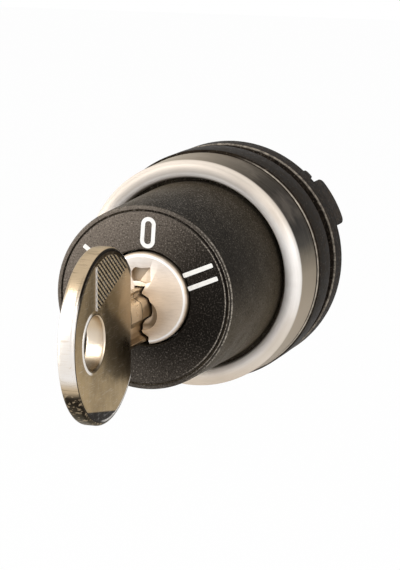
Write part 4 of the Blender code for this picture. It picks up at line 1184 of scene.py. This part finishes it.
# key: nickel brass, the bow's face darkened as a painted dark reflection, its rim with a painted highlight
# and scratches, painted dark reflections and shade, painted highlight lines, cross-hatched grip panel,
# scratches
keyLook = {
    "colour": (0.39, 0.285, 0.16),
    "bright": (0.86, 0.82, 0.78),
    "gold": (0.56, 0.43, 0.28),
    "deep": (0.035, 0.024, 0.014),
    "black": (0.010, 0.007, 0.005),
    "panel": (0.80, 0.64, 0.42),
    "hole": (0.70, 0.61, 0.50),
    "holeShade": (0.62, 0.49, 0.34),
    "blade": (0.72, 0.60, 0.45),
    "bladeWorn": (0.45, 0.35, 0.24),
    "bladeSide": (0.56, 0.43, 0.26),
    "bladeLow": (0.22, 0.15, 0.09),
    "rough": 0.27,
    "specular": 0.02,
    "tint": (0.75, 0.72, 0.65, 1),
    "hatchPitch": 0.55,
}
look = Finish("keyBrass", keyLook["colour"], keyLook["rough"], 1.0)
look.set("Specular Tint", keyLook["tint"])
look.set("Specular IOR Level", keyLook["specular"])
x, y, z = look.axes()
drop = z + keySizes["bowDrop"]
fromBow = fromCentre(y - keySizes["bowCentre"], drop)
fromHole = fromCentre(y - keySizes["holeCentre"], drop)
aside = x.apply("ABSOLUTE")
flatSide = aside.between(1.0, 1.04)
isBow = y.below(-36.4, -36.1)
rim = fromBow.between(10.04, 10.1) * isBow
inHole = fromHole.below(3.28, 3.32) * isBow
raised = aside.between(1.14, 1.2) * fromHole.between(3.74, 3.78)

# painted lines: dark reflections by the bow's edge, highlights at its lower edge, round the ring hole, at the
# panel's front and across the neck, and shade inside the bead
bevelDark = largest(fromBow.stripe(9.9, 9.94, 10.05, 10.1),
                    fromBow.stripe(9.9, 9.94, 10.25, 10.32) * z.between(2.5, 4.5))
bevelDark = bevelDark * x.between(0.68, 0.76) * isBow
lowEdge = fromBow.stripe(9.74, 9.8, 9.98, 10.03) * isBow * z.below(-2.5, -0.5) * y.between(-46.5, -44.5)
beadLine = fromHole.stripe(3.38, 3.44, 3.68, 3.74) * y.below(-49.7, -48.7)
beadShade = fromHole.stripe(3.28, 3.32, 3.38, 3.44) * x.between(1.0, 1.1)
panelWall = y.stripe(-47.78, -47.72, -47.69, -47.62) * z.stripe(1.8, 2.0, 6.9, 7.1)
panelWall = panelWall * aside.between(1.02, 1.06)
neckLine = y.stripe(-36.42, -36.34, -36.16, -36.08) * flatSide

# hatch, scratches and clouds
wave = 2 * math.pi / keyLook["hatchPitch"]
slant = ((y * 0.588 + z * 0.809) * wave).apply("SINE")
across = ((z * 0.8 - y * 0.6) * wave).apply("SINE")
hatch = raised * largest(slant.below(-0.3, 0.5), across.below(-0.75, -0.1) * 0.7)
scratch = look.noise(1, 3, 0.6, look.stretched(400, 700, 9000)).between(0.55, 0.68)
scratch = scratch + look.noise(1, 3, 0.6, look.stretched(400, 8000, 600)).between(0.6, 0.7)
scratch = scratch.apply("MINIMUM", 1.0)
cloud = look.noise(220, 4, 0.6).between(0.35, 0.7)
spots = look.noise(2400, 2).between(0.56, 0.64)

# painted dark reflections and shade on the bow's flat face
bent = cloud * 0.8
upper = z + (y + 46) * 0.55
lower = z + (y + 44.1) * 0.215
middle = largest(
    (upper + bent).below(2.3, 3.6) * (lower + bent).between(-6.9, -5.4) * y.between(-47, -44),
    upper.between(2.0, 3.6, 0, 0.5) * y.below(-45.5, -44),
    z.between(-2.5, 0.5, 0, 0.45) * y.below(-46.5, -45),
)
edgeDark = flatSide * largest(fromBow.between(9.5, 9.62) * z.between(1.0, 3.5),
                              fromBow.between(9.5, 9.9) * z.below(-8, -6) * 0.3)
footDark = (z + (y + 44) * 0.19).below(-10.8, -10.6) * flatSide

# the rim's painted highlight: white in the middle, gold above, black at the bottom, with scratches and clouds
white = z.stripe(-6.4, -4.6, 2.5, 5.5)
rimTone = look.paint(
    keyLook["gold"],
    (white, keyLook["bright"]),
    (scratch * 0.35 + cloud * 0.2, look.blend(white, keyLook["deep"], keyLook["gold"])),
    (z.below(-7.4, -6.3) * (1 - 0.1 * cloud - 0.5 * spots), keyLook["black"]),
)
# the ring hole's wall: painted shade bands, gold clouds and a darker painted shade at the bottom
holeTone = look.paint(
    keyLook["hole"],
    (z.between(-1.3, -0.2) * 0.9 + z.below(-3.0, -2.4) * 0.6, keyLook["holeShade"]),
    (cloud * 0.35, keyLook["gold"]),
    (z.below(-4.5, -3.8) * (0.3 + 0.6 * cloud), keyLook["deep"]),
)
# the blade: random worn patches, painted shade at the step and towards the bottom, painted shade lines at the
# step and the shoulder
bladeTone = look.paint(
    keyLook["blade"],
    (cloud * 0.4, keyLook["bladeWorn"]),
    (y.between(-32.2, -31.9) * z.below(-1.6, -0.6) * 0.6, keyLook["bladeSide"]),
    (z.below(-4.2, -2.9) * 0.75, keyLook["bladeLow"]),
    (y.stripe(-32.2, -32.1, -31.95, -31.85) * z.between(-2.3, -2.1) * 0.7, keyLook["deep"]),
    (y.stripe(-36.1, -35.85, -35.75, -35.55) * 0.7, keyLook["deep"]),
)
# the bow's colour is a painted dark reflection; over it: random clouds, a painted lighter gold towards the
# neck, painted dark reflections, the panel and hatch, painted highlights and shade, scratches
look.set("Base Color", look.paint(
    keyLook["colour"],
    (cloud * 0.25, keyLook["deep"]),
    ((y + 0.45 * z).between(-41, -36.5) * 0.9, keyLook["gold"]),
    (middle * 0.66 + cloud * 0.06, keyLook["deep"]),
    (raised * 0.85, keyLook["panel"]),
    (hatch, keyLook["black"]),
    (edgeDark * 0.9, keyLook["deep"]),
    (footDark, keyLook["black"]),
    (neckLine * 0.6, keyLook["bright"]),
    (scratch * 0.15, keyLook["bright"]),
    (rim, rimTone),
    (bevelDark, keyLook["black"]),
    (lowEdge * (0.6 + 0.4 * scratch), keyLook["bright"]),
    (beadLine * 0.9, keyLook["bright"]),
    (beadShade * 0.8, keyLook["deep"]),
    (panelWall, keyLook["bright"]),
    (inHole, holeTone),
    (y.between(-36.1, -35.9), bladeTone),
))
dull = largest(hatch, bevelDark, footDark, lowEdge).apply("MINIMUM", 1.0)
look.set("Metallic", 1 - 0.85 * dull)
look.set("Roughness", keyLook["rough"] + 0.12 * cloud + 0.12 * hatch)
look.bump(scratch * 0.12 - hatch, 0.05, 0.6)
look.onto(key)

# inner and rear parts
speckled("coverBlack", (0.014, 0.014, 0.014), (0.032, 0.031, 0.029), 0.45).onto(cover)
speckled("nylonNatural", (0.58, 0.56, 0.51), (0.66, 0.64, 0.58), 0.35, 0.012, 0.0).onto(*plungers)
speckled("drumAcetal", (0.55, 0.53, 0.48), (0.62, 0.60, 0.54), 0.4, 0.01, 0.0).ontoNode("cam_drum")
sealLook = speckled("sealRubber", (0.012, 0.012, 0.012), (0.020, 0.019, 0.018), 0.6, 0.008, 0.1)
sealLook.ontoNode("plug_seal", "cylinder_seal")
satinMetal("cylinderZinc", (0.47, 0.46, 0.44), (0.28, 0.27, 0.26), 0.4, (1, 5, 1)).ontoNode("lock_cylinder")
satinMetal("clipSteel", (0.36, 0.36, 0.37), (0.20, 0.20, 0.21), 0.33).ontoNode("retaining_clip")
ballLook = satinMetal("ballSteel", (0.62, 0.62, 0.63), (0.45, 0.45, 0.46), 0.15, (1, 1, 1), 0.15)
springLook = satinMetal("springSteel", (0.52, 0.52, 0.53), (0.33, 0.33, 0.34), 0.3, (1, 1, 1), 0.3)
brassLook = satinMetal("pinBrass", (0.72, 0.52, 0.24), (0.42, 0.28, 0.12), 0.28, (1, 6, 1), 0.3)
pinLook = satinMetal("pinSteel", (0.58, 0.57, 0.55), (0.38, 0.37, 0.36), 0.28, (1, 6, 1), 0.3)
for side in ("left", "right"):
    ballLook.ontoNode(f"detent_ball_{side}")
    springLook.ontoNode(f"detent_spring_{side}")
springLook.onto(*springs)
for number in range(1, 6):
    brassLook.ontoNode(f"key_pin_{number}")
    pinLook.ontoNode(f"driver_pin_{number}")
    springLook.ontoNode(f"pin_spring_{number}")
print("finishes made")


# Light, floor and background

light = {
    "seen": 1.0,
    "soft": 0.5,
    "floorAt": -70,
    "floorSize": 2400,
    "floorGlow": 0.97,
    "aim": (0, -20, 0),
    "lamps": (  # place in mm, size in mm, power
        ("keyLamp", (-260, -420, 380), 420, 2.6),
        ("leftLamp", (-520, -240, 20), 460, 2.4),
        ("fillLamp", (420, -300, 200), 360, 0.7),
    ),
}
seenRays = ("Is Camera Ray", "Is Glossy Ray", "Is Transmission Ray")

# the world is white where it is seen or mirrored, and softer as a light
world = bpy.data.worlds.new("backdrop")
bpy.context.scene.world = world
world.use_nodes = True
tree = world.node_tree
sky = tree.nodes["Background"]
sky.inputs["Color"].default_value = (1, 1, 1, 1)
rays = tree.nodes.new("ShaderNodeLightPath")
direct = rays.outputs[seenRays[0]]
for kind in seenRays[1:]:
    either = tree.nodes.new("ShaderNodeMath")
    either.operation = "MAXIMUM"
    tree.links.new(direct, either.inputs[0])
    tree.links.new(rays.outputs[kind], either.inputs[1])
    direct = either.outputs[0]
share = tree.nodes.new("ShaderNodeMapRange")
share.inputs["To Min"].default_value = light["soft"]
share.inputs["To Max"].default_value = light["seen"]
tree.links.new(direct, share.inputs["Value"])
tree.links.new(share.outputs["Result"], sky.inputs["Strength"])

aim = Vector(light["aim"]) * mm
for name, place, size, power in light["lamps"]:
    lampData = bpy.data.lights.new(name, "AREA")
    lampData.shape = "DISK"
    lampData.size = size * mm
    lampData.energy = power
    lamp = bpy.data.objects.new(name, lampData)
    lamp.location = Vector(place) * mm
    lamp.rotation_euler = (aim - lamp.location).to_track_quat("-Z", "Y").to_euler()
    bpy.context.scene.collection.objects.link(lamp)

floor = added("floor", bpy.ops.mesh.primitive_plane_add, size=light["floorSize"] * mm,
              location=(0, 0, light["floorAt"] * mm))
settle(floor)
look = Finish("floorWhite", (0.9, 0.9, 0.9), 0.9)
paper = look.noise(30, 2)
look.set("Base Color", look.blend(paper.between(0.3, 0.7), (0.88, 0.88, 0.88), (0.92, 0.92, 0.92)))
glow = look.node("ShaderNodeEmission", {}, {0: (1, 1, 1, 1), 1: 1.0})
seen = largest(*[look.node("ShaderNodeLightPath", out=kind) for kind in seenRays])
mixed = look.node("ShaderNodeMixShader", {}, {0: seen * light["floorGlow"]})
look.tree.links.new(look.shader.outputs[0], mixed.socket.node.inputs[1])
look.tree.links.new(glow.socket, mixed.socket.node.inputs[2])
look.tree.links.new(mixed.socket, look.tree.nodes["Material Output"].inputs["Surface"])
look.onto(floor)

bpy.context.scene.view_settings.view_transform = "Standard"
print("light set")
